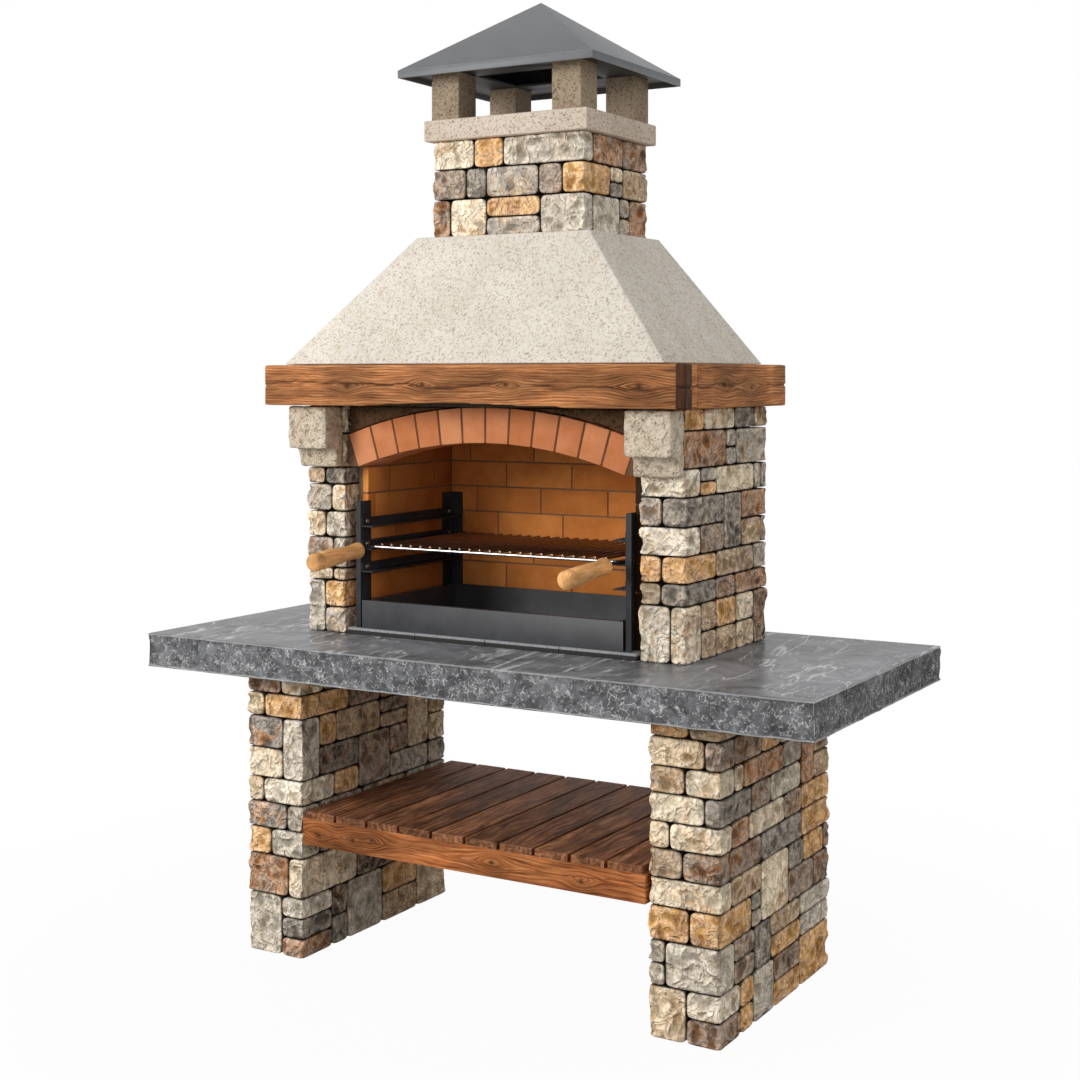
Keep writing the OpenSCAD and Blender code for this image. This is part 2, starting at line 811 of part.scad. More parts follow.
module hood() {
    throat_z = hood_z1 - hood_throat;
    color([.83, .79, .72])
        at_fire()
            difference() {
                sloped_body([beam_z1, hood_w / 2, hood_y0, hood_y1],
                            [hood_z1, stack_w / 2 + hood_ledge, stack_y0 - hood_ledge, hood_y1]);
                sloped_body([beam_z1, hood_w / 2 - hood_wall, hood_y0 + hood_wall, hood_y1 - hood_wall],
                            [throat_z, flue_w / 2, stack_y - flue_d / 2, stack_y + flue_d / 2]);
                flue_hole(throat_z - over, hood_z1 + over);
            }
}

module at_stack() {
    at_fire()
        translate([-stack_w / 2, stack_y0, hood_z1])
            children();
}

module flue_liner() {
    color("dimgray")
        difference() {
            at_stack() core(stack_w, stack_d, stack_h);
            at_fire() flue_hole(hood_z1 - over, stack_z1 + over);
        }
}

module chimney_stones() {
    color([.80, .70, .54]) at_stack() facing(stack_w, stack_d, stack_h, chimney_rows);
}

module chimney_slab() {
    color([.79, .74, .65])
        at_fire()
            difference() {
                translate([-cap_w / 2, stack_y - cap_d / 2, stack_z1])
                    cube([cap_w, cap_d, cap_t]);
                flue_hole(stack_z1 - over, cap_z1 + over);
            }
}

module at_posts() {
    at_fire()
        for (sx = [-1, 1])
            for (sy = [-1, 1])
                translate([sx * post_x, stack_y + sy * post_y, cap_z1])
                    children();
}

module cowl_posts() {
    color([.74, .70, .64])
        at_posts()
            difference() {
                translate([-post_s / 2, -post_s / 2, 0])
                    cube([post_s, post_s, post_h]);
                translate([0, 0, post_h - stud_l])
                    cylinder(d = stud_d, h = stud_l + over);
            }
}

// Flat ring that rests on the posts, inside the top of the roof's rim
module cowl_plate() {
    inner_w = 2 * post_x - post_s;
    inner_d = 2 * post_y - post_s;
    color([.35, .35, .37])
        difference() {
            at_fire()
                translate([0, stack_y, post_z1])
                    difference() {
                        translate([-cowl_w / 2 + cowl_t, -cowl_d / 2 + cowl_t, 0])
                            cube([cowl_w - 2 * cowl_t, cowl_d - 2 * cowl_t, cowl_plate_t]);
                        translate([-inner_w / 2, -inner_d / 2, -over])
                            cube([inner_w, inner_d, cowl_plate_t + 2 * over]);
                    }
            at_posts()
                translate([0, 0, post_h - over])
                    cylinder(d = stud_d, h = cowl_plate_t + 2 * over);
        }
}

module cowl_studs() {
    color("silver")
        at_posts() {
            translate([0, 0, post_h - stud_l])
                cylinder(d = stud_d, h = stud_l + cowl_plate_t);
            translate([0, 0, post_h + cowl_plate_t])
                cylinder(d = nut_d, h = nut_h, $fn = 6);
        }
}

// Straight rim with a four-sided pyramid on it, from the height z0 up
module roof_body(w, d, z0, rise) {
    translate([-w / 2, -d / 2, z0])
        cube([w, d, cowl_rim - z0]);
    intersection() {
        translate([0, d / 2 + over, cowl_rim])
            rotate([90, 0, 0])
                linear_extrude(d + 2 * over)
                    polygon([[-w / 2, 0], [w / 2, 0], [0, rise]]);
        translate([-w / 2 - over, 0, cowl_rim])
            rotate([90, 0, 90])
                linear_extrude(w + 2 * over)
                    polygon([[-d / 2, 0], [d / 2, 0], [0, rise]]);
    }
}

// Pyramid roof of folded sheet, open below
module cowl_roof() {
    color([.40, .41, .43])
        at_fire()
            translate([0, stack_y, roof_z0])
                difference() {
                    roof_body(cowl_w, cowl_d, 0, cowl_h);
                    roof_body(cowl_w - 2 * cowl_t, cowl_d - 2 * cowl_t, -over, cowl_h - cowl_t);
                }
}

// Bolt holes through an upright and its rails
module bolt_holes(y) {
    for (level = [0:2])
        translate([-fire_w / 2, y, hearth_t + rail_z + level * rail_pitch + rail_h / 2])
            rotate([0, 90, 0])
                cylinder(d = bolt_d, h = fire_w);
}

module upright(side, at_front) {
    flange = at_front ? post_flange : back_flange;
    flange_x = at_front ? web_x : web_x + steel_t - back_flange;
    flange_y = at_front ? upright_y0 : upright_y1 - steel_t;
    web_y = at_front ? upright_y0 : upright_y1 - post_leg_d;
    color([.16, .16, .17])
        at_fire()
            difference() {
                mirror([side < 0 ? 1 : 0, 0, 0]) {
                    translate([web_x, web_y, hearth_t])
                        cube([steel_t, post_leg_d, upright_h]);
                    translate([flange_x, flange_y, hearth_t])
                        cube([flange, steel_t, upright_h]);
                }
                bolt_holes(at_front ? bolt_y[0] : bolt_y[1]);
            }
}

module upright_front_left() {
    upright(-1, true);
}

module upright_front_right() {
    upright(1, true);
}

module upright_back_left() {
    upright(-1, false);
}

module upright_back_right() {
    upright(1, false);
}

// Six angle rails, three levels on each side, ledge inwards
module frame_rails() {
    color([.18, .18, .19])
        at_fire()
            difference() {
                for (side = [0, 1])
                    mirror([side, 0, 0])
                        for (level = [0:2])
                            translate([0, rail_y0, hearth_t + rail_z + level * rail_pitch]) {
                                translate([rail_x, 0, -steel_t])
                                    cube([steel_t, rail_y1 - rail_y0, rail_h + steel_t]);
                                translate([rail_x + steel_t - rail_ledge, 0, -steel_t])
                                    cube([rail_ledge, rail_y1 - rail_y0, steel_t]);
                            }
                for (y = bolt_y)
                    bolt_holes(y);
            }
}

module frame_bolts() {
    color("silver")
        at_fire()
            for (side = [0, 1])
                mirror([side, 0, 0])
                    for (y = bolt_y)
                        for (level = [0:2])
                            translate([rail_x, y, hearth_t + rail_z + level * rail_pitch + rail_h / 2])
                                rotate([0, 90, 0]) {
                                    cylinder(d = bolt_d, h = 2 * steel_t);
                                    translate([0, 0, -bolt_head_h])
                                        cylinder(d = bolt_head_d, h = bolt_head_h);
                                }
}

// Drawer for the embers: a sheet box with a wider front panel and a folded lip
module charcoal_tray() {
    front_x = tray_x + tray_flange;
    color([.14, .14, .15])
        at_fire()
            translate([0, 0, tray_z]) {
                difference() {
                    translate([-tray_x, tray_y0 - slide_gap, 0])
                        cube([2 * tray_x, tray_y1 - tray_y0 + slide_gap, tray_h]);
                    translate([tray_t - tray_x, tray_y0, tray_t])
                        cube([2 * (tray_x - tray_t), tray_y1 - tray_y0 - tray_t, tray_h]);
                }
                translate([-front_x, tray_y0 - slide_gap - tray_t, 0])
                    cube([2 * front_x, tray_t, tray_h]);
                translate([-tray_x, tray_y0 - slide_gap - tray_t, tray_h - tray_t])
                    cube([2 * tray_x, tray_lip, tray_t]);
            }
}

// Rod along Y
module y_rod(x, y0, y1, z, d) {
    translate([x, y0, z])
        rotate([-90, 0, 0])
            cylinder(d = d, h = y1 - y0);
}

// Bars round the grill: two sides that reach past the rails, front, middle and back
module grill_frame() {
    mid_y = (grill_y0 + grill_y1) / 2;
    color([.75, .76, .78])
        at_fire() {
            for (side = [-1, 1])
                y_rod(side * grill_x, handle_y, grill_y1 + bar_d / 2, grill_z, bar_d);
            for (y = [grill_y0, mid_y, grill_y1])
                translate([-grill_x, y, grill_z])
                    rotate([0, 90, 0])
                        cylinder(d = bar_d, h = 2 * grill_x);
        }
}

module grill_rods() {
    pitch = 2 * grill_x / (rod_n + 1);
    color([.30, .26, .23])
        at_fire()
            for (i = [1:rod_n])
                y_rod(i * pitch - grill_x, grill_y0 - bar_d, grill_y1 + bar_d,
                      grill_z + (bar_d + rod_d) / 2, rod_d);
}

// Moves into a handle's own frame: origin on the front end of a side bar, +Z towards the cook
module at_handle(side) {
    at_fire()
        translate([side * grill_x, handle_y, grill_z])
            rotate([90 + grip_slope, 0, 0])
                children();
}

// Each rod is cut flush with the front end of its side bar
module handle_rods() {
    color([.20, .20, .21])
        difference() {
            for (side = [-1, 1])
                at_handle(side)
                    translate([0, 0, -bar_d])
                        cylinder(d = bar_d, h = bar_d + handle_run + grip_bore_l);
            at_fire()
                translate([-rail_x, handle_y, grill_z - 2 * bar_d])
                    cube([2 * rail_x, 2 * bar_d, 4 * bar_d]);
        }
}

// Smooth change from one radius to another, for a share of the way
function swell(r0, r1, share) = r0 + (r1 - r0) * (1 - cos(180 * share)) / 2;

// Turned wooden grip: a bulb at the rod, a waist, a belly, a ring groove and a domed end
module handle_grip(side) {
    belly_r = grip_d / 2;
    waist_r = grip_waist_d / 2;
    bulb_r = bulb_d / 2;
    bulb = [for (a = [0:15:90]) [bulb_r * sin(a), bulb_l / 2 * (1 - cos(a))]];
    waist = [for (t = [.2:.2:1]) [swell(bulb_r, waist_r, t), bulb_l / 2 + t * (waist_z - bulb_l / 2)]];
    belly = [for (t = [.1:.1:1]) [swell(waist_r, belly_r, t), waist_z + t * (belly_z - waist_z)]];
    groove = [[belly_r, groove_z - groove_w / 2], [belly_r - groove_depth, groove_z],
              [belly_r, groove_z + groove_w / 2]];
    dome = [for (a = [0:15:90]) [belly_r * cos(a), grip_l - dome_l * (1 - sin(a))]];
    color([.80, .58, .33])
        at_handle(side)
            translate([0, 0, handle_run])
                difference() {
                    rotate_extrude()
                        polygon(concat(bulb, waist, belly, groove, dome));
                    translate([0, 0, -over])
                        cylinder(d = bar_d, h = grip_bore_l + over);
                }
}

module handle_grip_left() {
    handle_grip(-1);
}

module handle_grip_right() {
    handle_grip(1);
}

leg_left_core();
leg_left_stones();
leg_right_core();
leg_right_stones();
worktop_slab();
shelf_front_rail();
shelf_back_rail();
for (i = [1:slat_n])
    shelf_slat(i);
shelf_screws();
pier_left_core();
pier_left_stones();
pier_right_core();
pier_right_stones();
hearth_tiles();
lining_left_mortar();
lining_left_bricks();
lining_right_mortar();
lining_right_bricks();
lining_back_mortar();
lining_back_bricks();
arch_bricks();
arch_mortar();
spandrel();
corbel_left();
corbel_right();
beam_front();
beam_left();
beam_right();
smoke_collar();
hood();
flue_liner();
chimney_stones();
chimney_slab();
cowl_posts();
cowl_plate();
cowl_studs();
cowl_roof();
upright_front_left();
upright_front_right();
upright_back_left();
upright_back_right();
frame_rails();
frame_bolts();
charcoal_tray();
grill_frame();
grill_rods();
handle_rods();
handle_grip_left();
handle_grip_right();
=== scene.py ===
import json
import math
import random
from bisect import bisect_right
from functools import partial

import bmesh
import bpy
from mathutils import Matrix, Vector

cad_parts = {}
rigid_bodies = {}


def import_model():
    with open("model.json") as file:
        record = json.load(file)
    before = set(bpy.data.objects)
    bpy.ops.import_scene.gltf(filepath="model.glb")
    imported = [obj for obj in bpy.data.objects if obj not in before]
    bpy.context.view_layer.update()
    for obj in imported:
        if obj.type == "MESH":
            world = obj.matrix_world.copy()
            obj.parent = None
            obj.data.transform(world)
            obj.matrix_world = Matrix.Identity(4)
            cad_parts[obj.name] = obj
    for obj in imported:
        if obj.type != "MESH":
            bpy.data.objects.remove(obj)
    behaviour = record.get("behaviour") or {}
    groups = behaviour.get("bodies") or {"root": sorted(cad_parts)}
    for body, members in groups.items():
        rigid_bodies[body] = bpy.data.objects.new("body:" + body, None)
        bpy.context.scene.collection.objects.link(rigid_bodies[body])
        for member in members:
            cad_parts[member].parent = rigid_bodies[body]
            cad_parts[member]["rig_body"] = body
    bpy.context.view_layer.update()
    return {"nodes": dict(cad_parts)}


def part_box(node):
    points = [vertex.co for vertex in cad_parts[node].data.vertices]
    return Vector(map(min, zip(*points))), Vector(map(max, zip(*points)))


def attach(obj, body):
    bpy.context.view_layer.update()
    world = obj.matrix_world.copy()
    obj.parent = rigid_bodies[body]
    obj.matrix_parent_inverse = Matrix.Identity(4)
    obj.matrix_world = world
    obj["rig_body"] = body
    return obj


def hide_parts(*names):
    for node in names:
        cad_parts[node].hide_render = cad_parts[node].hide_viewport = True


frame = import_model()
scene = bpy.context.scene
print("Frame loaded with", len(frame["nodes"]), "pieces")

mm = 0.001
# how near points weld, faces count as one plane and faces count as lying on the wall's line
near = {"points": 0.01 * mm, "planes": math.radians(1), "wall": 0.1 * mm}


# Shared helpers

def linearColour(hexCode):
    parts = [int(hexCode[start:start + 2], 16) / 255 for start in (1, 3, 5)]
    return tuple(p / 12.92 if p <= 0.04045 else ((p + 0.055) / 1.055) ** 2.4 for p in parts) + (1.0,)


def perMetre(sizeMm):
    return 1000 / sizeMm  # a texture's scale from the size of one grain in millimetres


def addNode(tree, kind, inputs=(), stops=(), **settings):
    # inputs are values or the sockets that feed them, by place or by name; stops are the marks of a ramp
    if not kind.startswith("NodeGroup"):
        kind = ("ShaderNode" if hasattr(bpy.types, "ShaderNode" + kind) else "GeometryNode") + kind
    node = tree.nodes.new(kind)
    for name, value in settings.items():
        setattr(node, name, value)
    for name, value in inputs.items() if isinstance(inputs, dict) else enumerate(inputs):
        if isinstance(value, bpy.types.NodeSocket):
            tree.links.new(value, node.inputs[name])
        else:
            node.inputs[name].default_value = value
    for count, (position, colour) in enumerate(stops):
        marks = node.color_ramp.elements
        mark = marks[count] if count < 2 else marks.new(position)
        mark.position = position
        mark.color = linearColour(colour)
    return node.outputs


def newMesh(name, points, quads):
    mesh = bpy.data.meshes.new(name)
    mesh.from_pydata(points, [], quads)
    return mesh


def linkObject(name, mesh):
    piece = bpy.data.objects.new(name, mesh)
    scene.collection.objects.link(piece)
    return piece


def bakeModifiers(piece):
    # the evaluated mesh takes the place of the mesh and its modifiers
    graph = bpy.context.evaluated_depsgraph_get()
    mesh = bpy.data.meshes.new_from_object(piece.evaluated_get(graph), preserve_all_data_layers=True,
                                           depsgraph=graph)
    piece.modifiers.clear()
    piece.data = mesh


def runTree(name, mesh, tree, values, material):
    # the mesh comes back through the node group as a plain smooth one
    piece = linkObject(name, mesh)
    modifier = piece.modifiers.new("shape", "NODES")
    modifier.node_group = tree
    values = {**values, "Material": material}
    for item in tree.interface.items_tree:
        if item.in_out == "INPUT" and item.name in values:
            modifier[item.identifier] = values[item.name]
    bakeModifiers(piece)
    piece.data.shade_smooth()
    return piece


def startTree(name, floats):
    tree = bpy.data.node_groups.new(name, "GeometryNodeTree")
    for label, way, kind in ([("Geometry", "INPUT", "Geometry"), ("Rounding Passes", "INPUT", "Int")]
                             + [(label, "INPUT", "Float") for label in floats]
                             + [("Material", "INPUT", "Material"), ("Geometry", "OUTPUT", "Geometry")]):
        tree.interface.new_socket(label, in_out=way, socket_type="NodeSocket" + kind)
    return tree, partial(addNode, tree), addNode(tree, "NodeGroupInput")


def startMaterial(name, marks="", **shaderValues):
    # marks are the stored attributes that the material reads, each of which comes back as a socket
    material = bpy.data.materials.new(name)
    material.use_nodes = True
    add = partial(addNode, material.node_tree)
    for socket, value in shaderValues.items():
        material.node_tree.nodes["Principled BSDF"].inputs[socket.replace("_", " ")].default_value = value
    read = [add("Attribute", attribute_name=mark)["Fac"] for mark in marks.split()]
    return [material, add, add("TexCoord")["Object"]] + read


def place(piece, nodes):
    # the piece stands for its CAD nodes and moves with their body
    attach(piece, frame["nodes"][nodes[0]]["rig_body"])
    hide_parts(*nodes)


def dress(node, material):
    # a CAD node whose shape is right keeps its mesh and takes a finish
    piece = frame["nodes"][node]
    if not piece.material_slots:
        piece.data.materials.append(material)
    for slot in piece.material_slots:
        slot.material = material


def mergedCopy(node):
    # a CAD mesh is loose triangles, so its copy is merged before anything is done to its edges
    body = bmesh.new()
    body.from_mesh(frame["nodes"][node].data)
    bmesh.ops.remove_doubles(body, verts=body.verts, dist=near["points"])
    body.normal_update()
    return body


def toMesh(body, name):
    mesh = bpy.data.meshes.new(name)
    body.to_mesh(mesh)
    body.free()
    return mesh


def looseParts(body):
    # a part grows while it is walked
    parts, seen = [], set()
    for start in body.verts:
        if start in seen:
            continue
        part = [start]
        seen.add(start)
        for vert in part:
            for edge in vert.link_edges:
                other = edge.other_vert(vert)
                if other not in seen:
                    seen.add(other)
                    part.append(other)
        parts.append(part)
    return parts


def boundsOf(part):
    return [(min(v.co[axis] for v in part), max(v.co[axis] for v in part)) for axis in range(3)]


def addData(mesh, name, kind, values, domain="POINT"):
    data = mesh.attributes.new(name, kind, domain).data
    if kind == "FLOAT":
        data.foreach_set("value", values)
    else:
        data.foreach_set("color", [part for colour in values for part in colour])


# Lattice solids: closed skins of small quads that a relief can move

# the six sides of a cell: the step to its neighbour, and the corners of the face between them
cellSides = (
    ((1, 0, 0), ((1, 0, 0), (1, 1, 0), (1, 1, 1), (1, 0, 1))),
    ((-1, 0, 0), ((0, 0, 0), (0, 0, 1), (0, 1, 1), (0, 1, 0))),
    ((0, 1, 0), ((0, 1, 0), (0, 1, 1), (1, 1, 1), (1, 1, 0))),
    ((0, -1, 0), ((0, 0, 0), (1, 0, 0), (1, 0, 1), (0, 0, 1))),
    ((0, 0, 1), ((0, 0, 1), (1, 0, 1), (1, 1, 1), (0, 1, 1))),
    ((0, 0, -1), ((0, 0, 0), (0, 1, 0), (1, 1, 0), (1, 0, 0))),
)
# where in its cell a point is tested: off the middle, where two triangles may meet
testedAt = (0.37, 0.41, 0.5)


def stepMarks(values, step):
    marks = [values[0]]
    for low, high in zip(values, values[1:]):
        count = max(1, round((high - low) / step))
        marks += [low + (high - low) * n / count for n in range(1, count + 1)]
    return marks


def isSolid(point, flats):
    # an odd number of level faces lies over a point inside the solid
    over = [f for f in flats if f.verts[0].co.z > point.z and bmesh.geometry.intersect_face_point(f, point)]
    return len(over) % 2 == 1


def latticeSkin(part, steps, rim=0.0, outer=None):
    # one CAD solid with square corners comes back as vertices and quads; rim adds a row that far from its
    # edges, and outer holds where its outermost faces go
    flats = {face for vert in part for face in vert.link_faces if abs(face.normal.z) > 0.5}
    breaks = [sorted({round(vert.co[axis], 5) for vert in part}) for axis in range(3)]
    if rim:
        breaks = [sorted(values + [values[0] + rim, values[-1] - rim]) for values in breaks]
    marks = [stepMarks(values, step) for values, step in zip(breaks, steps)]
    tested = [[low + (high - low) * share for low, high in zip(values, values[1:])]
              for values, share in zip(breaks, testedAt)]
    solid = {(i, j, k) for i, x in enumerate(tested[0]) for j, y in enumerate(tested[1])
             for k, z in enumerate(tested[2]) if isSolid(Vector((x, y, z)), flats)}
    coarse = [[bisect_right(values, (low + high) / 2) - 1 for low, high in zip(rows, rows[1:])]
              for values, rows in zip(breaks, marks)]
    for axis, ends in enumerate(outer or ()):
        marks[axis][0], marks[axis][-1] = ends
    filled = {(i, j, k) for i, a in enumerate(coarse[0]) for j, b in enumerate(coarse[1])
              for k, c in enumerate(coarse[2]) if (a, b, c) in solid}
    points, numbers, quads = [], {}, []
    for cell in sorted(filled):
        for step, corners in cellSides:
            if (cell[0] + step[0], cell[1] + step[1], cell[2] + step[2]) in filled:
                continue
            quad = []
            for corner in corners:
                key = (cell[0] + corner[0], cell[1] + corner[1], cell[2] + corner[2])
                if key not in numbers:
                    numbers[key] = len(points)
                    points.append(tuple(marks[axis][key[axis]] for axis in range(3)))
                quad.append(numbers[key])
            quads.append(quad)
    return points, quads


def latticeCopy(node, steps, rim=0.0):
    # a piece that is one solid, as a lattice
    body = mergedCopy(node)
    points, quads = latticeSkin(list(body.verts), steps, rim)
    body.free()
    return newMesh(node, points, quads)


# Groups of nodes that more than one finish or relief uses

def shiftedBy(add, at, amount, steps):
    # each solid sees another part of a pattern, so none runs across a joint
    shift = add("VectorMath", {0: steps, "Scale": amount}, operation="SCALE")[0]
    return add("VectorMath", [at, shift], operation="ADD")[0]


def lineAlong(add, value, middle, width, strength):
    # a line where the value crosses its middle, strongest at its heart
    away = add("Math", [value, middle], operation="SUBTRACT")[0]
    away = add("Math", [away], operation="ABSOLUTE")[0]
    return add("MapRange", [away, 0.0, width, strength, 0.0])[0]


def past(add, where, axis, limit, operation="GREATER_THAN"):
    # 1 on the far side of a plane across the axis, or with LESS_THAN on its near side
    reach = add("SeparateXYZ", [where])[axis]
    return add("Math", [reach, limit], operation=operation)[0]


def stain(add, colour, mask, strength, tone):
    # the tone lies over the colour where the mask is; sockets 6, 7 and 2 are a mix node's colours
    share = add("Math", [mask, strength], operation="MULTIPLY")[0]
    tone = linearColour(tone) if isinstance(tone, str) else tone
    return add("Mix", {0: share, 6: colour, 7: tone}, data_type="RGBA")[2]


def shade(add, colour, value, low, high, atLow, atHigh, power=None):
    # the colour is made darker or lighter as the value goes from low to high
    amount = add("MapRange", [value, low, high, atLow, atHigh])[0]
    if power:
        amount = add("Math", [amount, power], operation="POWER")[0]
    return add("VectorMath", {0: colour, "Scale": amount}, operation="SCALE")[0]


def setSurface(material, colour, height, depthMm, strength, rough=None, shine=None):
    # rough and shine each hold the value that drives them and what they are at its two ends
    tree = material.node_tree
    found = {"Base Color": colour}
    for name, driven in (("Roughness", rough), ("Specular IOR Level", shine)):
        if driven:
            value, low, high = driven
            found[name] = addNode(tree, "MapRange", [value, 0.0, 1.0, low, high])[0]
    bump = {"Height": height, "Distance": depthMm * mm, "Strength": strength}
    found["Normal"] = addNode(tree, "Bump", bump)[0]
    for name, socket in found.items():
        tree.links.new(socket, tree.nodes["Principled BSDF"].inputs[name])
    return material


def roundCorners(add, given, flat, worn):
    # blurred positions round the corners, and what leans between two axes is marked as an edge, which the
    # finishes paint pale, partly as wear and partly as a painted highlight
    position = add("InputPosition")[0]
    rounded = add("BlurAttribute", {"Value": position, "Iterations": given["Rounding Passes"]},
                  data_type="FLOAT_VECTOR")["Value"]
    shape = add("SetPosition", {"Geometry": given["Geometry"], "Position": rounded})[0]
    normal = add("InputNormal")["Normal"]
    upright = add("VectorMath", [normal], operation="ABSOLUTE")["Vector"]
    parts = add("SeparateXYZ", [upright])
    widest = add("Math", [parts[0], parts[1]], operation="MAXIMUM")[0]
    widest = add("Math", [widest, parts[2]], operation="MAXIMUM")[0]
    edge = add("MapRange", [widest, flat, worn])[0]
    shape = add("StoreNamedAttribute", {"Geometry": shape, "Name": "wornEdge", "Value": edge})[0]
    return shape, position, normal, parts


def sinkSkin(add, given, shape, normal, depth):
    # the skin goes in by the depth, takes its material and leaves the group
    inward = add("Math", [depth, -1.0], operation="MULTIPLY")[0]
    offset = add("VectorMath", {0: normal, "Scale": inward}, operation="SCALE")[0]
    shape = add("SetPosition", {"Geometry": shape, "Offset": offset})[0]
    shape = add("RealizeInstances", [shape])[0]
    shape = add("SetMaterial", {"Geometry": shape, "Material": given["Material"]})[0]
    add("NodeGroupOutput", [shape])


# Stone relief: rounds the corners of each solid, then sinks facets and chips into its faces

def splitReliefTree():
    tree, add, given = startTree("splitRelief", (
        "Facet Size", "Facet Depth", "Chip Size", "Chip Depth", "Joint Depth", "Sides Only", "Seed"))
    shape, position, normal, parts = roundCorners(add, given, 0.98, 0.75)
    stoneSeed = add("InputNamedAttribute", {"Name": "stoneSeed"})[0]
    seed = add("Math", [stoneSeed, given["Seed"]], operation="ADD")[0]
    at = shiftedBy(add, position, seed, (3.1, 5.7, 4.3))
    depths = []
    for size, depth in (("Facet Size", "Facet Depth"), ("Chip Size", "Chip Depth")):
        scale = add("Math", [1.0, given[size]], operation="DIVIDE")[0]
        bend = add("TexNoise", {"Vector": at, "Scale": scale})["Color"]
        bent = shiftedBy(add, at, given[size], bend)
        # each cell is a plane with its own lean and level
        cells = add("TexVoronoi", {"Vector": bent, "Scale": scale})
        away = add("VectorMath", [bent, cells["Position"]], operation="SUBTRACT")[0]
        away = add("VectorMath", {0: away, "Scale": scale}, operation="SCALE")[0]
        lean = add("VectorMath", [cells["Color"], (0.5, 0.5, 0.5)], operation="SUBTRACT")[0]
        tilt = add("VectorMath", [away, lean], operation="DOT_PRODUCT")["Value"]
        level = add("SeparateXYZ", [cells["Color"]])[1]
        level = add("Math", [level, 0.5], operation="MULTIPLY")[0]
        sunk = add("Math", [tilt, 1.8, level], operation="MULTIPLY_ADD")[0]
        sunk = add("MapRange", [sunk, -0.25, 0.75])[0]
        depths.append(add("Math", [sunk, given[depth]], operation="MULTIPLY")[0])
    deep = add("Math", depths, operation="ADD")[0]
    deep = add("BlurAttribute", {"Value": deep, "Iterations": 1})[0]
    # a polished top keeps flat where only the sides are split
    side = add("MapRange", [parts[2], 0.3, 0.9, 1.0, 0.0])[0]
    keep = add("Math", [1.0, given["Sides Only"]], operation="SUBTRACT")[0]
    split = add("Math", [side, keep], operation="MAXIMUM")[0]
    both = add("Math", [given["Facet Depth"], given["Chip Depth"]], operation="ADD")[0]
    hollow = add("Math", [deep, both], operation="DIVIDE")[0]
    for name, value in (("splitFace", split), ("hollow", hollow)):
        shape = add("StoreNamedAttribute", {"Geometry": shape, "Name": name, "Value": value})[0]
    # the faces in a joint are dressed flatter than the face that shows
    openFace = add("InputNamedAttribute", {"Name": "openFace"})[0]
    openFace = add("BlurAttribute", {"Value": openFace, "Iterations": 2})[0]
    dressed = add("MapRange", [openFace, 0.75, 0.97, given["Joint Depth"]])[0]
    for mask in (split, dressed):
        deep = add("Math", [deep, mask], operation="MULTIPLY")[0]
    sinkSkin(add, given, shape, normal, deep)
    return tree


splitRelief = splitReliefTree()


# Stones

# each kind of stone in the mix: its body and the stain in it
stoneKinds = {
    "cream": ("#E9D8BC", "#CFA778"),
    "ivory": ("#EDE1CD", "#CFB48D"),
    "sand": ("#DFC8A6", "#BF9566"),
    "tan": ("#C0A07A", "#92765F"),
    "ochre": ("#E2AD6A", "#BE7F45"),
    "rust": ("#AA7344", "#786050"),
    "brown": ("#7E6452", "#AB7445"),
    "dark": ("#5F4E42", "#8F6B4C"),
    "mauve": ("#8D7868", "#A27C5A"),
    "ash": ("#CEC3B2", "#AA9A83"),
    "grey": ("#AA9F92", "#BE9F7A"),
    "slate": ("#776E66", "#998A76"),
    "veined": ("#78706A", "#C98F58"),
}

# what the mason laid, from the top course down: the front, then the right side from front to back
laidStones = {
    "leg_right_stones": (
        "ochre tan / sand mauve / tan cream / cream slate / sand cream / tan brown / cream / ochre ochre /"
        "ash ash / ash / sand ivory / brown",
        "brown tan ochre / brown ochre cream brown / sand rust grey rust tan / brown ash tan /"
        "rust cream brown ochre / slate ochre / tan cream slate ochre brown / slate mauve brown / grey /"
        "mauve slate tan ash / mauve ochre ash / ochre ash brown ochre / ochre ochre"),
    "leg_left_stones": (
        "brown cream / sand ochre / veined ash / cream / sand ivory / veined grey / ochre ash / rust cream /"
        "ash / ash / slate / rust",
        "brown tan brown mauve / brown tan tan / ochre tan brown sand tan / tan / dark mauve brown sand /"
        "ochre grey grey / mauve brown grey / rust brown tan / dark mauve grey / brown /"
        "dark ash ochre sand / slate tan"),
    "pier_right_stones": (
        "cream ochre / tan rust / ivory / grey slate / ivory / ochre ochre / sand slate / ivory cream",
        "cream slate tan / grey grey / grey / grey cream grey grey / ochre / slate rust / mauve tan tan /"
        "tan grey / brown rust / tan ochre cream brown / tan tan sand"),
    "pier_left_stones": (
        "tan cream / brown sand / tan slate / grey cream / sand ash / mauve grey / mauve / sand tan /"
        "ash ochre / grey",
        ""),
    "chimney_stones": (
        "cream ochre ash / mauve slate grey mauve ochre / rust cream ochre ash / grey",
        "rust brown / cream tan / slate / ash grey rust / grey"),
}

stoneWork = {
    "spacing": 7 * mm,
    "jointFill": 1.9 * mm,
    "standBack": 3 * mm,
    "shadeDepth": 16 * mm,
    "toneSpread": 0.07,
    "seed": 11,
    "relief": {"Rounding Passes": 5, "Facet Size": 42 * mm, "Facet Depth": 10 * mm, "Chip Size": 20 * mm,
               "Chip Depth": 5 * mm, "Joint Depth": 0.05, "Sides Only": 0.0, "Seed": 0.3},
}


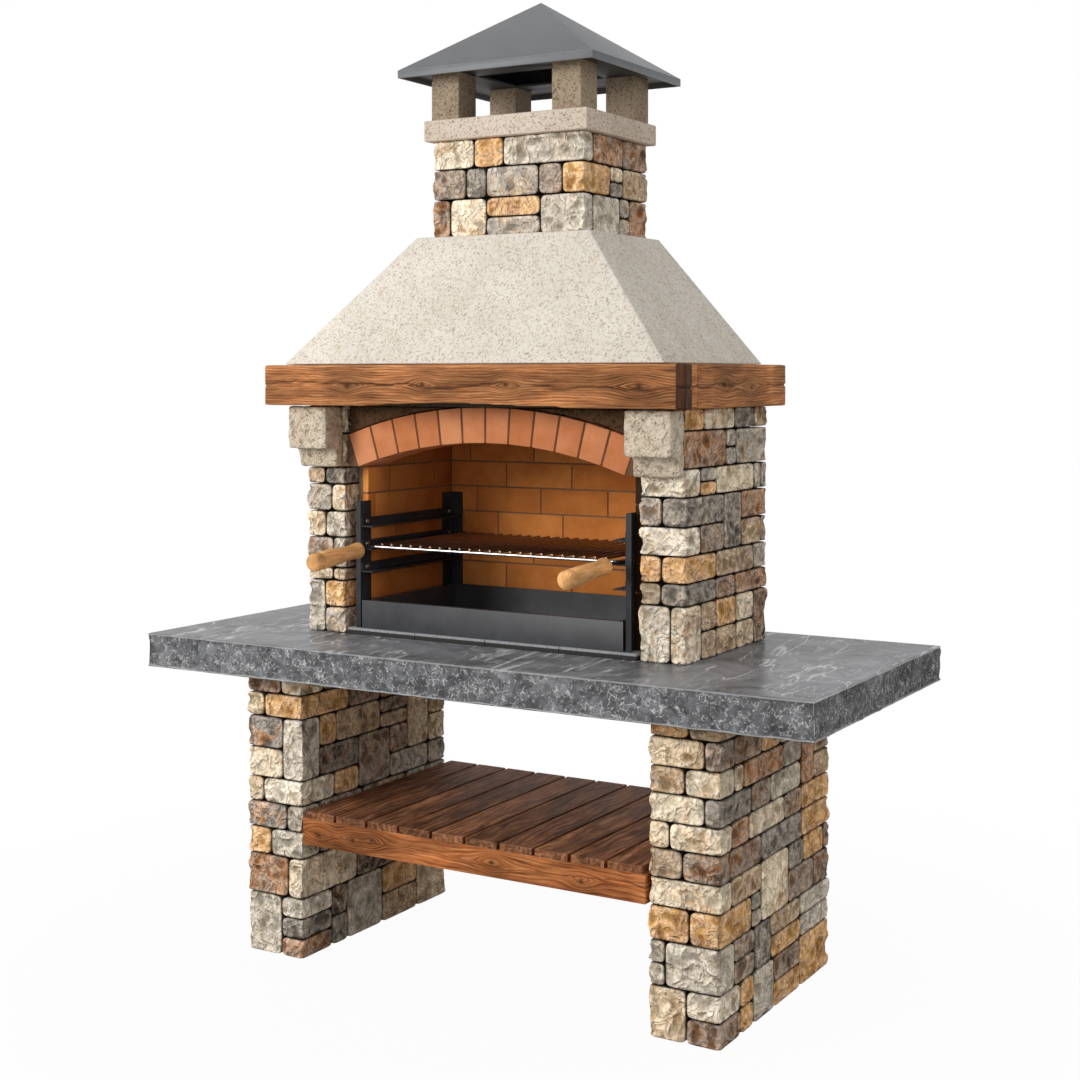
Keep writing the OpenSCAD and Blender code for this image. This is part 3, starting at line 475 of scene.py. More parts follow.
def layStones(node, material):
    body = mergedCopy(node)
    low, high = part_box(node)
    solids = sorted(((boundsOf(part), part) for part in looseParts(body)), key=lambda solid: solid[0])
    front = [n for n, (box, _) in enumerate(solids) if box[1][0] < low.y + near["wall"]]
    side = [n for n, (box, _) in enumerate(solids) if box[0][1] > high.x - near["wall"] and n not in front]
    kinds = {}
    for order, axis, words in zip((front, side), (0, 1), laidStones[node]):
        order.sort(key=lambda n: (-round(solids[n][0][2][1], 3), solids[n][0][axis][0]))
        kinds.update(zip(order, words.replace("/", " ").split()))
    rng = random.Random(stoneWork["seed"] + len(solids))
    mix = [kind for kind in stoneKinds if kind != "veined"]
    points, quads, seeds, bodies, stains, faces = [], [], [], [], [], []
    for number, (box, part) in enumerate(solids):
        kind = kinds.get(number, rng.choice(mix))
        brightness = 1 + rng.uniform(-1, 1) * stoneWork["toneSpread"]
        bodyColour, stainColour = [tuple(p * brightness for p in linearColour(code)[:3]) + (1.0,)
                                   for code in stoneKinds[kind]]
        outer = []
        for axis in range(3):
            # a stone grows into its joints, and its face stands back a little from the wall's line
            ends = []
            for value, wall, out in ((box[axis][0], low[axis], -1), (box[axis][1], high[axis], 1)):
                setBack = rng.uniform(0, stoneWork["standBack"]) if axis < 2 else 0
                grown = -setBack if abs(value - wall) < near["wall"] else stoneWork["jointFill"]
                ends.append(value + out * grown)
            outer.append(ends)
        stonePoints, stoneQuads = latticeSkin(part, [stoneWork["spacing"]] * 3, outer=outer)
        for x, y, z in stonePoints:
            # a point deeper in the wall gets a lower openFace: the relief dresses it flatter and the finish
            # paints it darker, as painted shade in the joint
            deep = min(x - low.x, high.x - x, y - low.y, high.y - y) - stoneWork["standBack"]
            faces.append(min(1.0, max(0.0, 1 - deep / stoneWork["shadeDepth"])))
        quads += [[len(points) + corner for corner in quad] for quad in stoneQuads]
        points += stonePoints
        seeds += [rng.random()] * len(stonePoints)
        bodies += [bodyColour] * len(stonePoints)
        stains += [stainColour] * len(stonePoints)
    body.free()
    mesh = newMesh(node, points, quads)
    addData(mesh, "stoneSeed", "FLOAT", seeds)
    addData(mesh, "openFace", "FLOAT", faces)
    addData(mesh, "stoneColour", "FLOAT_COLOR", bodies)
    addData(mesh, "stainColour", "FLOAT_COLOR", stains)
    place(runTree(node + "_split", mesh, splitRelief, stoneWork["relief"], material), [node])


# Materials

def splitSandstone():
    # quarried sand and limestone, split by hammer: matt, stained through along its bedding; its ridges and
    # edges are painted lighter and cream, partly as fresh breaks and rubbing and partly as painted highlight,
    # and its hollows, valleys and joint faces are painted darker as painted shade
    material, add, where, seed, hollow, edge, openFace = startMaterial(
        "split sandstone", "stoneSeed hollow wornEdge openFace", Specular_IOR_Level=0.05)
    bodyColour, stainColour = [add("Attribute", attribute_name=mark)["Color"]
                               for mark in ("stoneColour", "stainColour")]
    at = shiftedBy(add, where, seed, (7.1, 3.3, 5.9))
    clouds = add("TexNoise", {"Vector": at, "Scale": perMetre(45), "Detail": 6.0, "Roughness": 0.62,
                              "Distortion": 1.2})[0]
    stained = add("MapRange", [clouds, 0.48, 0.62, 0.0, 0.85])[0]
    colour = stain(add, bodyColour, stained, 1.0, stainColour)
    # ridges left by the hammer, sharp where two flakes meet
    relief = add("TexNoise", {"Vector": at, "Scale": perMetre(33), "Detail": 5.0, "Roughness": 0.6,
                              "Lacunarity": 2.2, "Offset": 0.9, "Gain": 1.2, "Distortion": 0.5},
                 noise_type="RIDGED_MULTIFRACTAL")[0]
    # the ridges and edges are painted lighter and cream: partly fresh breaks and rubbing, partly painted
    # highlight
    freshAndHighlight = add("MapRange", [relief, 0.42, 0.85, 0.0, 0.46])[0]
    freshAndHighlight = add("Math", [edge, 0.25, freshAndHighlight], operation="MULTIPLY_ADD")[0]
    colour = shade(add, colour, freshAndHighlight, 0.0, 1.0, 1.0, 2.0)
    colour = stain(add, colour, freshAndHighlight, 0.6, "#F1E8DA")
    # calcite seams, a millimetre or two wide, left pale by the break
    seams = add("TexNoise", {"Vector": at, "Scale": perMetre(52), "Detail": 4.0, "Distortion": 2.2})[0]
    colour = stain(add, colour, lineAlong(add, seams, 0.5, 0.01, 0.75), 1.0, "#EFE6D6")
    grain = add("TexNoise", {"Vector": at, "Scale": perMetre(8), "Detail": 3.0, "Roughness": 0.65})[0]
    # each of these darkens and lightens the stone between two limits: painted shade in the valleys between
    # ridges, painted shade in the hollows with the raised faces lighter, the grain, and painted shade on the
    # faces that lie in the joints
    for limits in ((relief, 0.1, 0.45, 0.57, 1.05), (hollow, 0.75, 0.2, 0.8, 1.14),
                   (grain, 0.34, 0.64, 0.74, 1.22), (openFace, 0.4, 0.86, 0.14, 1.0)):
        colour = shade(add, colour, *limits)
    height = add("Math", [grain, 0.35, relief], operation="MULTIPLY_ADD")[0]
    return setSurface(material, colour, height, 9, 1.0, (relief, 0.78, 0.98))


sandstone = splitSandstone()
for stoneNode in laidStones:
    layStones(stoneNode, sandstone)
print("Stones laid")


def polishedLimestone():
    # grey limestone: top ground and polished, so veins run clear and lamps mirror softly; edge split by
    # hammer, matt, with the white crushed lines of each blow
    material, add, where, split, edge, hollow = startMaterial(
        "polished grey limestone", "splitFace wornEdge hollow")
    clouds = add("TexNoise", {"Vector": where, "Scale": perMetre(150), "Detail": 8.0, "Roughness": 0.68,
                              "Distortion": 1.2})[0]
    colour = add("ValToRGB", [clouds], stops=(
        (0.34, "#595A5D"), (0.46, "#727376"), (0.57, "#85868A"), (0.7, "#9C9DA0")))[0]
    pale = "#D3D4D5"
    # the bed was sawn across its veins, which run from front to back
    along = add("Mapping", {"Vector": where, "Rotation": (0, 0, 1.64), "Scale": (2.8, 0.6, 1.0)},
                vector_type="TEXTURE")[0]
    broken = add("TexNoise", {"Vector": where, "Scale": perMetre(90)})[0]
    broken = add("MapRange", [broken, 0.4, 0.55])[0]
    veined = add("MapRange", [split, 0.0, 1.0, 1.0, 0.25])[0]
    shown = add("Math", [broken, veined], operation="MULTIPLY")[0]
    # three sets of veins, each with its size in mm, its share of the noise about the middle and its strength
    for size, width, strength in ((330, 0.01, 1.0), (150, 0.009, 1.0), (70, 0.008, 0.7)):
        wander = add("TexNoise", {"Vector": along, "Scale": perMetre(size), "Detail": 3.0,
                                  "Distortion": 0.7})[0]
        colour = stain(add, colour, lineAlong(add, wander, 0.5, width, strength), shown, pale)
    colour = stain(add, colour, split, 0.75, "#68696C")
    # the flakes that the blows lifted, 10 and 26 mm wide, differ in tone, and part of their edges is crushed
    # white: how wide, how white and how rarely
    bend = add("TexNoise", {"Vector": where, "Scale": perMetre(16), "Detail": 3.0})["Color"]
    bent = add("VectorMath", [bend, (0.017, 0.017, 0.017), where], operation="MULTIPLY_ADD")[0]
    for size, width, strength, rare in ((10, 0.1, 0.75, 0.51), (26, 0.04, 0.85, 0.58)):
        tone = add("TexVoronoi", {"Vector": bent, "Scale": perMetre(size)})["Color"]
        tone = add("SeparateColor", [tone])[0]
        colour = shade(add, colour, tone, 0.0, 1.0, 0.72, 1.25, split)
        line = add("TexVoronoi", {"Vector": bent, "Scale": perMetre(size)},
                   feature="DISTANCE_TO_EDGE")["Distance"]
        line = add("MapRange", [line, 0.0, width, strength, 0.0])[0]
        blows = add("TexNoise", {"Vector": where, "Scale": perMetre(size * 1.3), "Distortion": 0.8})[0]
        crushed = add("MapRange", [blows, rare, rare + 0.06])[0]
        crushed = add("Math", [crushed, split], operation="MULTIPLY")[0]
        colour = stain(add, colour, line, crushed, pale)
    # painted shade in the split face's hollows; the edges are painted pale, partly as wear and partly as a
    # painted highlight
    colour = shade(add, colour, hollow, 0.25, 0.8, 1.1, 0.7, split)
    colour = stain(add, colour, edge, 0.6, pale)
    polish = add("MapRange", [clouds, 0.0, 1.0, 0.22, 0.36])[0]
    height = add("Math", [blows, split], operation="MULTIPLY")[0]
    return setSurface(material, colour, height, 8, 1.0, (split, polish, 0.92), (split, 0.04, 0.0))


def castConcrete(name, tones, grainMm, pitMm, pitShare, bumpMm, shadowLineHeight=None):
    # white cement cast round crushed marble and sand: matt, speckled by the aggregate, pitted by air bubbles
    material, add, where, edge, hollow = startMaterial(
        name, "wornEdge hollow", Specular_IOR_Level=0.08, Roughness=0.9)
    base, pale, tan, dark = tones
    clouds = add("TexNoise", {"Vector": where, "Scale": perMetre(130), "Detail": 5.0, "Roughness": 0.6})[0]
    colour = add("ValToRGB", [clouds], stops=((0.35, base), (0.65, pale)))[0]
    grains = add("TexVoronoi", {"Vector": where, "Scale": perMetre(grainMm)})["Color"]
    kinds = add("SeparateColor", [grains])
    # three kinds of grain: the share of the cells that each spares, its tone and how strongly it shows
    for kind, limit, tone, strength in ((0, 0.72, tan, 0.45), (1, 0.88, dark, 0.5), (2, 0.6, pale, 0.6)):
        share = add("Math", [kinds[kind], limit], operation="GREATER_THAN")[0]
        colour = stain(add, colour, share, strength, tone)
    pits = add("TexNoise", {"Vector": where, "Scale": perMetre(pitMm), "Detail": 3.0, "Roughness": 0.6,
                            "Distortion": 0.6})[0]
    pitted = add("MapRange", [pits, pitShare, pitShare + 0.12])[0]
    colour = stain(add, colour, pitted, 0.35, dark)
    # painted shade in the hollows; the edges are painted pale, partly as wear and partly as a painted
    # highlight
    colour = shade(add, colour, hollow, 0.45, 0.9, 1.0, 0.78)
    colour = stain(add, colour, edge, 0.35, pale)
    if shadowLineHeight is not None:
        # painted shadow: below this height the tile's front is painted dark, as the shadow line under the
        # tray
        colour = stain(add, colour, past(add, where, 2, shadowLineHeight, "LESS_THAN"), 1.0, "#3C3A38")
    sand = add("TexNoise", {"Vector": where, "Scale": perMetre(grainMm * 1.4), "Detail": 4.0})[0]
    height = add("Math", [sand, pitted], operation="SUBTRACT")[0]
    return setSurface(material, colour, height, bumpMm, 0.8)


# what a knot does to the wood about it: how fast each effect falls off with the square of the distance in
# knots, how much darker the wood goes and how many rings are pulled in
knotWork = {"haloFalloff": 0.05, "swirlFalloff": 0.3, "heartFalloff": 7.0, "halo": -0.32, "swirl": -2.6}


def stainedTimber(name, tones, order, ringMm, knots=(), pith=0.0, paleEdgeShare=1.0, ringShare=0.14, checkMm=0,
                  corner=None, spread=0.0):
    # sawn softwood under a thin stain: the late rings show as dark lines that part round each knot, satin
    # where handled, edges painted pale as wear and as painted highlight; order names the axes along the
    # grain, across it and into it
    material, add, where, seed, crack, edge = startMaterial(
        name, "pieceSeed crack wornEdge", Specular_IOR_Level=0.1)
    axes = add("SeparateXYZ", [where])
    along, across, into = [axes["XYZ".index(letter)] for letter in order]
    if corner:
        # past the dark strip of the lapped corner the other timber shows, with its grain front to back
        reach = past(add, where, 0, corner[0])
        ahead = past(add, where, 1, corner[1], "LESS_THAN")
        strip = add("Math", [reach, ahead], operation="MULTIPLY")[0]
        turned = add("Math", [axes[1], 1.0], operation="ADD")[0]
        along = add("Mix", {0: reach, 2: along, 3: turned})[0]
        into = add("Mix", {0: reach, 2: into, 3: axes[0]})[0]
        edge = add("Math", [edge, reach], operation="SUBTRACT", use_clamp=True)[0]
    # each board is cut from elsewhere in the tree, and its grain is four times as long as it is wide
    shifted = add("Math", [seed, 9.7, along], operation="MULTIPLY_ADD")[0]
    deeper = add("Math", [seed, 3.1, into], operation="MULTIPLY_ADD")[0]
    slow = add("CombineXYZ", [shifted, across, deeper])[0]
    slow = add("Mapping", {"Vector": slow, "Scale": (2.6, 10.0, 10.0)})[0]
    wander = add("TexNoise", {"Vector": slow, "Scale": 1.0, "Detail": 3.0})[0]
    # rings are counted from the pith, the line that the knots grow out of
    offPith = add("Math", [across, pith], operation="SUBTRACT")[0]
    field = add("Math", [offPith], operation="ABSOLUTE")[0] if knots else offPith
    field = add("Math", [field, perMetre(ringMm)], operation="MULTIPLY")[0]
    field = add("Math", [wander, 6.0, field], operation="MULTIPLY_ADD")[0]
    heart, halo = 0.0, 1.0
    for spot, height, size in knots:
        at = add("CombineXYZ", [along, across])[0]
        at = add("VectorMath", [at, (spot, height, 0)], operation="SUBTRACT")[0]
        at = add("VectorMath", [at, (0.75 / size, 1 / size, 1)], operation="MULTIPLY")[0]
        far = add("VectorMath", [at, at], operation="DOT_PRODUCT")["Value"]
        wide, close, core = [add("Math", [math.exp(-knotWork[falloff]), far], operation="POWER")[0]
                             for falloff in ("haloFalloff", "swirlFalloff", "heartFalloff")]
        halo = add("Math", [wide, knotWork["halo"], halo], operation="MULTIPLY_ADD")[0]
        field = add("Math", [close, knotWork["swirl"], field], operation="MULTIPLY_ADD")[0]
        heart = add("Math", [heart, core], operation="MAXIMUM")[0]
    rings = add("Math", [field, 2 * math.pi], operation="MULTIPLY")[0]
    rings = add("Math", [rings], operation="SINE")[0]
    rings = add("MapRange", [rings, -1.0, 1.0])[0]
    rings = add("Math", [rings, 0.6], operation="POWER")[0]
    fine = add("CombineXYZ", [shifted, field, deeper])[0]
    fine = add("Mapping", {"Vector": fine, "Scale": (perMetre(80), 1.8, perMetre(7))})[0]
    fibres = add("TexNoise", {"Vector": fine, "Scale": 1.0, "Detail": 5.0, "Roughness": 0.7})[0]
    tone = add("Math", [rings, ringShare], operation="MULTIPLY")[0]
    tone = add("Math", [fibres, 1.1 - ringShare, tone], operation="MULTIPLY_ADD")[0]
    colour = add("ValToRGB", [tone], stops=zip((0.36, 0.5, 0.64, 0.82), tones))[0]
    blotch = add("TexNoise", {"Vector": slow, "Scale": 2.3})[0]
    colour = shade(add, colour, blotch, 0.38, 0.62, 0.7, 1.28)
    if spread:
        colour = shade(add, colour, seed, 0.0, 1.0, 1 - spread, 1 + spread)
    if knots:
        colour = add("VectorMath", {0: colour, "Scale": halo}, operation="SCALE")[0]
        colour = stain(add, colour, heart, 0.9, "#3A2114")
    colour = stain(add, colour, edge, 0.6 * paleEdgeShare, tones[3])
    if checkMm:
        # the split that drying opened wanders along the middle, painted as a dark line: the shade in the
        # split
        path = add("MapRange", [wander, 0.3, 0.7, -0.022, 0.022])[0]
        comes = add("MapRange", [fibres, 0.38, 0.5])[0]
        colour = stain(add, colour, lineAlong(add, offPith, path, checkMm * mm, 0.85), comes, "#2E180D")
    if corner:
        # end grain drinks more of the stain
        upright = add("Mapping", {"Vector": where, "Scale": (perMetre(9), perMetre(9), perMetre(70))})[0]
        upright = add("TexNoise", {"Vector": upright, "Scale": 1.0, "Detail": 4.0})[0]
        soaked = add("ValToRGB", [upright], stops=((0.35, "#3A241A"), (0.65, "#5E3D2A")))[0]
        colour = stain(add, colour, strip, 1.0, soaked)
    # the crack that the hewn timber tree sinks is painted near black, as the shade inside it
    colour = stain(add, colour, crack, 0.9, "#24150D")
    return setSurface(material, colour, tone, 1.6, 0.7, (fibres, 0.55, 0.78))


def firedBrick(name, tones, grainMm, bumpMm, shadowAndPointingTo=None, shadeFrom=None):
    # pressed firebrick: fine sandy face, each brick a little lighter or darker from its place in the kiln
    material, add, where, seed, edge = startMaterial(name, "pieceSeed wornEdge", Specular_IOR_Level=0.06)
    at = shiftedBy(add, where, seed, (4.1, 2.3, 6.7))
    clouds = add("TexNoise", {"Vector": at, "Scale": perMetre(60), "Detail": 5.0})[0]
    tone = add("Math", [seed, 0.5, clouds], operation="MULTIPLY_ADD")[0]
    colour = add("ValToRGB", [tone], stops=zip((0.45, 0.72, 1.0), tones))[0]
    sand = add("TexNoise", {"Vector": at, "Scale": perMetre(grainMm), "Detail": 4.0, "Roughness": 0.7})[0]
    colour = shade(add, colour, sand, 0.3, 0.7, 0.88, 1.12)
    # the edges are painted lighter, partly as wear and partly as a painted highlight
    colour = stain(add, colour, edge, 0.3, tones[2])
    if shadowAndPointingTo is not None:
        # the front ends are painted dark, as the painted shadow of the upright and as mortar pointing
        colour = stain(add, colour, past(add, where, 1, shadowAndPointingTo, "LESS_THAN"), 1.0, "#3A2A1E")
    if shadeFrom is not None:
        # painted shade: the wall is painted darker towards the back
        depth = add("SeparateXYZ", [where])[1]
        colour = shade(add, colour, depth, shadeFrom, shadeFrom + 60 * mm, 1.0, 0.66)
    return setSurface(material, colour, sand, bumpMm, 0.6, (sand, 0.7, 0.92))


def sandyCement(name, dark, pale, grainMm, renderFrom=None):
    # mortar and raw block: cement and sand, matt and grainy
    material, add, where = startMaterial(name, Specular_IOR_Level=0.05, Roughness=0.95)
    sand = add("TexNoise", {"Vector": where, "Scale": perMetre(grainMm), "Detail": 5.0, "Roughness": 0.7})[0]
    colour = add("ValToRGB", [sand], stops=((0.35, dark), (0.65, pale)))[0]
    if renderFrom is not None:
        # the outside of the wall is rendered grey
        coat = add("ValToRGB", [sand], stops=((0.35, "#958C80"), (0.65, "#B7AEA1")))[0]
        colour = stain(add, colour, past(add, where, 1, renderFrom), 1.0, coat)
    return setSurface(material, colour, sand, 1.5, 0.7)


def paintedSheet(name, tone, pale, roughness, grainMm, bumpMm, metallic=0.0, shine=0.5):
    # steel under paint or plating: the coat's fine texture breaks up the lamps' mirror; edges are painted
    # pale, partly as rubbing and partly as a painted highlight
    material, add, where, edge = startMaterial(name, "wornEdge", Metallic=metallic, Specular_IOR_Level=shine)
    dust = add("TexNoise", {"Vector": where, "Scale": perMetre(70), "Detail": 6.0, "Roughness": 0.6})[0]
    share = add("MapRange", [dust, 0.4, 0.75, 0.0, 0.25])[0]
    share = add("Math", [edge, 0.5, share], operation="MULTIPLY_ADD")[0]
    colour = stain(add, linearColour(tone), share, 1.0, pale)
    coat = add("TexNoise", {"Vector": where, "Scale": perMetre(grainMm)})[0]
    return setSurface(material, colour, coat, bumpMm, 0.4, (dust, roughness - 0.08, roughness + 0.1))


# Copies of the CAD pieces with finished edges and skins

def roundedCopy(node, radiusMm, segments, material, smoothAngle=40):
    # the CAD piece with its edges eased, a seed for each of its solids and its eased edges marked to be
    # painted pale, partly as wear and partly as a painted highlight
    body = mergedCopy(node)
    bmesh.ops.dissolve_limit(body, angle_limit=near["planes"], verts=body.verts, edges=body.edges)
    seeds = body.verts.layers.float.new("pieceSeed")
    rng = random.Random(sum(map(ord, node)))
    for part in sorted(looseParts(body), key=boundsOf):
        value = rng.random()
        for vert in part:
            vert[seeds] = value
    mesh = toMesh(body, node)
    piece = linkObject(node + "_finished", mesh)
    piece.data.materials.append(material)
    piece.data.materials.append(material)
    bevel = piece.modifiers.new("easedEdge", "BEVEL")
    bevel.width = radiusMm * mm
    bevel.segments = segments
    bevel.limit_method = "ANGLE"
    bevel.angle_limit = math.radians(smoothAngle)
    bevel.harden_normals = True
    bevel.material = 1
    for face in mesh.polygons:
        face.use_smooth = True
    bakeModifiers(piece)
    # only the eased faces are painted pale, as wear and as a painted highlight, so the mark is kept at their
    # own corners
    worn = [0.0] * len(piece.data.loops)
    for face in piece.data.polygons:
        if face.material_index == 1:
            for corner in face.loop_indices:
                worn[corner] = 1.0
            face.material_index = 0
    piece.data.materials.pop(index=1)
    addData(piece.data, "wornEdge", "FLOAT", worn, "CORNER")
    place(piece, [node])


castWork = {
    "voxel": 5 * mm,
    "relief": {"Rounding Passes": 2, "Facet Size": 32 * mm, "Facet Depth": 3 * mm, "Chip Size": 14 * mm,
               "Chip Depth": 2.5 * mm, "Joint Depth": 1.0, "Sides Only": 0.0, "Seed": 0.7},
}


def castCopy(node, material, slotName, **changes):
    # the CAD piece remeshed into small even faces, which takes its corners off, with an uneven cast skin
    blank = linkObject(node + "_blank", toMesh(mergedCopy(node), node))
    remesh = blank.modifiers.new("even", "REMESH")
    remesh.mode = "VOXEL"
    remesh.voxel_size = castWork["voxel"]
    bakeModifiers(blank)
    mesh = blank.data
    bpy.data.objects.remove(blank)
    addData(mesh, "openFace", "FLOAT", [1.0] * len(mesh.vertices))
    piece = runTree(node + "_cast", mesh, splitRelief, {**castWork["relief"], **changes}, material)
    place(piece, [node])


slabWork = {
    "spacing": 8 * mm,
    "arris": 4 * mm,
    "sharpAngle": 50,
    "relief": {"Rounding Passes": 1, "Facet Size": 40 * mm, "Facet Depth": 8 * mm, "Chip Size": 16 * mm,
               "Chip Depth": 4.5 * mm, "Joint Depth": 1.0, "Sides Only": 1.0, "Seed": 0.2},
}


def splitSlab(node, material):
    mesh = latticeCopy(node, [slabWork["spacing"]] * 3, slabWork["arris"])
    addData(mesh, "openFace", "FLOAT", [1.0] * len(mesh.vertices))
    piece = runTree(node + "_split", mesh, splitRelief, slabWork["relief"], material)
    piece.data.set_sharp_from_angle(angle=math.radians(slabWork["sharpAngle"]))
    place(piece, [node])


# Hewn timber: rounds the beam, works its faces by hand and opens the drying crack

def hewnTimberTree():
    tree, add, given = startTree("hewnTimber", (
        "Work Depth", "Crack Height", "Crack Width", "Crack Depth", "Crack Share", "Seed"))
    shape, position, normal, parts = roundCorners(add, given, 0.93, 0.78)
    stretched = add("VectorMath", [position, (5.0, 5.0, 24.0)], operation="MULTIPLY")[0]
    work = add("TexNoise", {"Vector": stretched, "W": given["Seed"], "Scale": 1.0}, noise_dimensions="4D")[0]
    depth = add("Math", [work, given["Work Depth"]], operation="MULTIPLY")[0]
    # the crack wanders about the heart of the beam and comes and goes along it
    flat = add("VectorMath", [position, (6.0, 6.0, 0.0)], operation="MULTIPLY")[0]
    path = add("TexNoise", {"Vector": flat, "W": given["Seed"], "Scale": 1.0, "Detail": 4.0},
               noise_dimensions="4D")[0]
    path = add("MapRange", [path, 0.0, 1.0, -0.03, 0.03])[0]
    height = add("SeparateXYZ", [position])[2]
    height = add("Math", [height, given["Crack Height"]], operation="SUBTRACT")[0]
    gap = lineAlong(add, height, path, given["Crack Width"], 1.0)
    comes = add("TexNoise", {"Vector": flat, "W": 4.0, "Scale": 0.7}, noise_dimensions="4D")[0]
    start = add("Math", [1.0, given["Crack Share"]], operation="SUBTRACT")[0]
    stop = add("Math", [start, 0.08], operation="ADD")[0]
    comes = add("MapRange", [comes, start, stop])[0]
    upright = add("MapRange", [parts[2], 0.3, 0.6, 1.0, 0.0])[0]
    for mask in (comes, upright):
        gap = add("Math", [gap, mask], operation="MULTIPLY")[0]
    shape = add("StoreNamedAttribute", {"Geometry": shape, "Name": "crack", "Value": gap})[0]
    depth = add("Math", [gap, given["Crack Depth"], depth], operation="MULTIPLY_ADD")[0]
    sinkSkin(add, given, shape, normal, depth)
    return tree


hewnTimber = hewnTimberTree()
beamWork = {
    "steps": (8 * mm, 8 * mm, 3.6 * mm),
    "relief": {"Rounding Passes": 3, "Work Depth": 2.2 * mm, "Crack Width": 3.5 * mm, "Crack Depth": 6 * mm,
               "Crack Share": 0.62},
}


def hewnBeam(node, material, seed):
    low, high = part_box(node)
    values = {**beamWork["relief"], "Crack Height": (low.z + high.z) / 2, "Seed": seed}
    piece = runTree(node + "_hewn", latticeCopy(node, beamWork["steps"]), hewnTimber, values, material)
    place(piece, [node])


# Finish of every piece

splitSlab("worktop_slab", polishedLimestone())

concrete = castConcrete("white cement concrete", ("#D5CDC0", "#E5DED3", "#BFA688", "#968979"), 4, 9, 0.62, 2)
castStone = castConcrete("cast stone", ("#CFC0A9", "#E6DAC7", "#BE9C70", "#927A5C"), 4, 16, 0.56, 7)
weathered = castConcrete("cast stone, weathered", ("#C7B9A8", "#DCCEBF", "#A4866A", "#6A5A4A"), 4, 7, 0.62,
                         1.5)
# painted shade: the cowl's posts take a darker copy of the cast stone, as the shade under the cowl
shadedCastStone = castConcrete("cast stone, shaded", ("#968571", "#AE9C86", "#745D44", "#43382C"), 4, 8, 0.6, 2)
roundedCopy("hood", 5, 3, concrete)
for corbel in ("corbel_left", "corbel_right"):
    castCopy(corbel, castStone, "cast_stone")
roundedCopy("chimney_slab", 4, 3, weathered)
roundedCopy("cowl_posts", 3, 3, shadedCastStone)

# painted shade: the spandrel under the beam takes a darkened render, as the shade that falls on it
shadedRoughStone = castConcrete("rough render, shaded", ("#574230", "#70533A", "#4C3927", "#382B20"), 6, 16, 0.58, 4)
castCopy("spandrel", shadedRoughStone, "rough_stone",
         **{"Facet Size": 30 * mm, "Chip Size": 12 * mm, "Chip Depth": 2 * mm})
print("Cast and split pieces done")

# a knot is where it lies along the piece, how far above its middle, and its size
beamLow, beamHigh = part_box("beam_front")
beamMiddle = (beamLow.z + beamHigh.z) / 2
beamTones = ("#643B21", "#96603A", "#BD7E4F", "#E2AC7A")
frontKnots = [(spot, beamMiddle + up, size) for spot, up, size in (
    (-0.369, -0.002, 0.017), (-0.147, 0.003, 0.012), (0.086, 0.003, 0.013), (0.431, 0.0, 0.022))]
lap = {"front": 21 * mm, "side": 42 * mm}
frontPine = stainedTimber("stained pine, front beam", beamTones, "XZY", 6.5, frontKnots, beamMiddle,
                          corner=(beamHigh.x - lap["front"], beamLow.y + lap["side"]))
sideKnots = [(-0.06, beamMiddle + 0.004, 0.014), (0.09, beamMiddle - 0.004, 0.012)]
sidePine = stainedTimber("stained pine, side beams", beamTones, "YZX", 6.5, sideKnots, beamMiddle, 0.3)
hewnBeam("beam_front", frontPine, 1.0)
hewnBeam("beam_left", sidePine, 2.0)
hewnBeam("beam_right", sidePine, 3.0)

railLow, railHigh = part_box("shelf_front_rail")
railMiddle = (railLow.z + railHigh.z) / 2
railKnots = [(railLow.x + share * (railHigh.x - railLow.x), railMiddle + up, size) for share, up, size in (
    (0.05, -0.004, 0.016), (0.16, -0.002, 0.014), (0.22, 0.004, 0.012), (0.58, 0.002, 0.015),
    (0.83, -0.006, 0.013))]
railWood = stainedTimber("stained pine, shelf rails", ("#713B1C", "#A15D33", "#C07A49", "#DB9A64"), "XZY", 10,
                         railKnots, railMiddle, ringShare=0.15, checkMm=2.2)
slatWood = stainedTimber("oiled hardwood slats", ("#4D2D1D", "#72482F", "#926345", "#B78968"), "YXZ", 18,
                         ringShare=0.12, spread=0.18)
for rail in ("shelf_front_rail", "shelf_back_rail"):
    roundedCopy(rail, 2.5, 3, railWood)
for slat in [name for name in frame["nodes"] if name.startswith("shelf_slat_")]:
    roundedCopy(slat, 2.5, 3, slatWood)
print("Timber done")

archBrick = firedBrick("pressed orange brick", ("#C57849", "#D08459", "#DC9468"), 2.5, 0.6)
liningTones = ("#CE7C3E", "#E28C47", "#EE9C54")
liningBrick = firedBrick("golden firebrick", liningTones, 3, 0.8)
rightBrick = firedBrick("golden firebrick, shadowed and pointed ends", liningTones, 3, 0.8,
                        shadowAndPointingTo=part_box("lining_right_bricks")[0].y + 3 * mm)
leftBrick = firedBrick("golden firebrick, shaded", liningTones, 3, 0.8,
                       shadeFrom=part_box("lining_left_bricks")[0].y + 30 * mm)
roundedCopy("arch_bricks", 2, 2, archBrick)
wallMortar = sandyCement("lining mortar", "#7C5F48", "#A08468", 4)
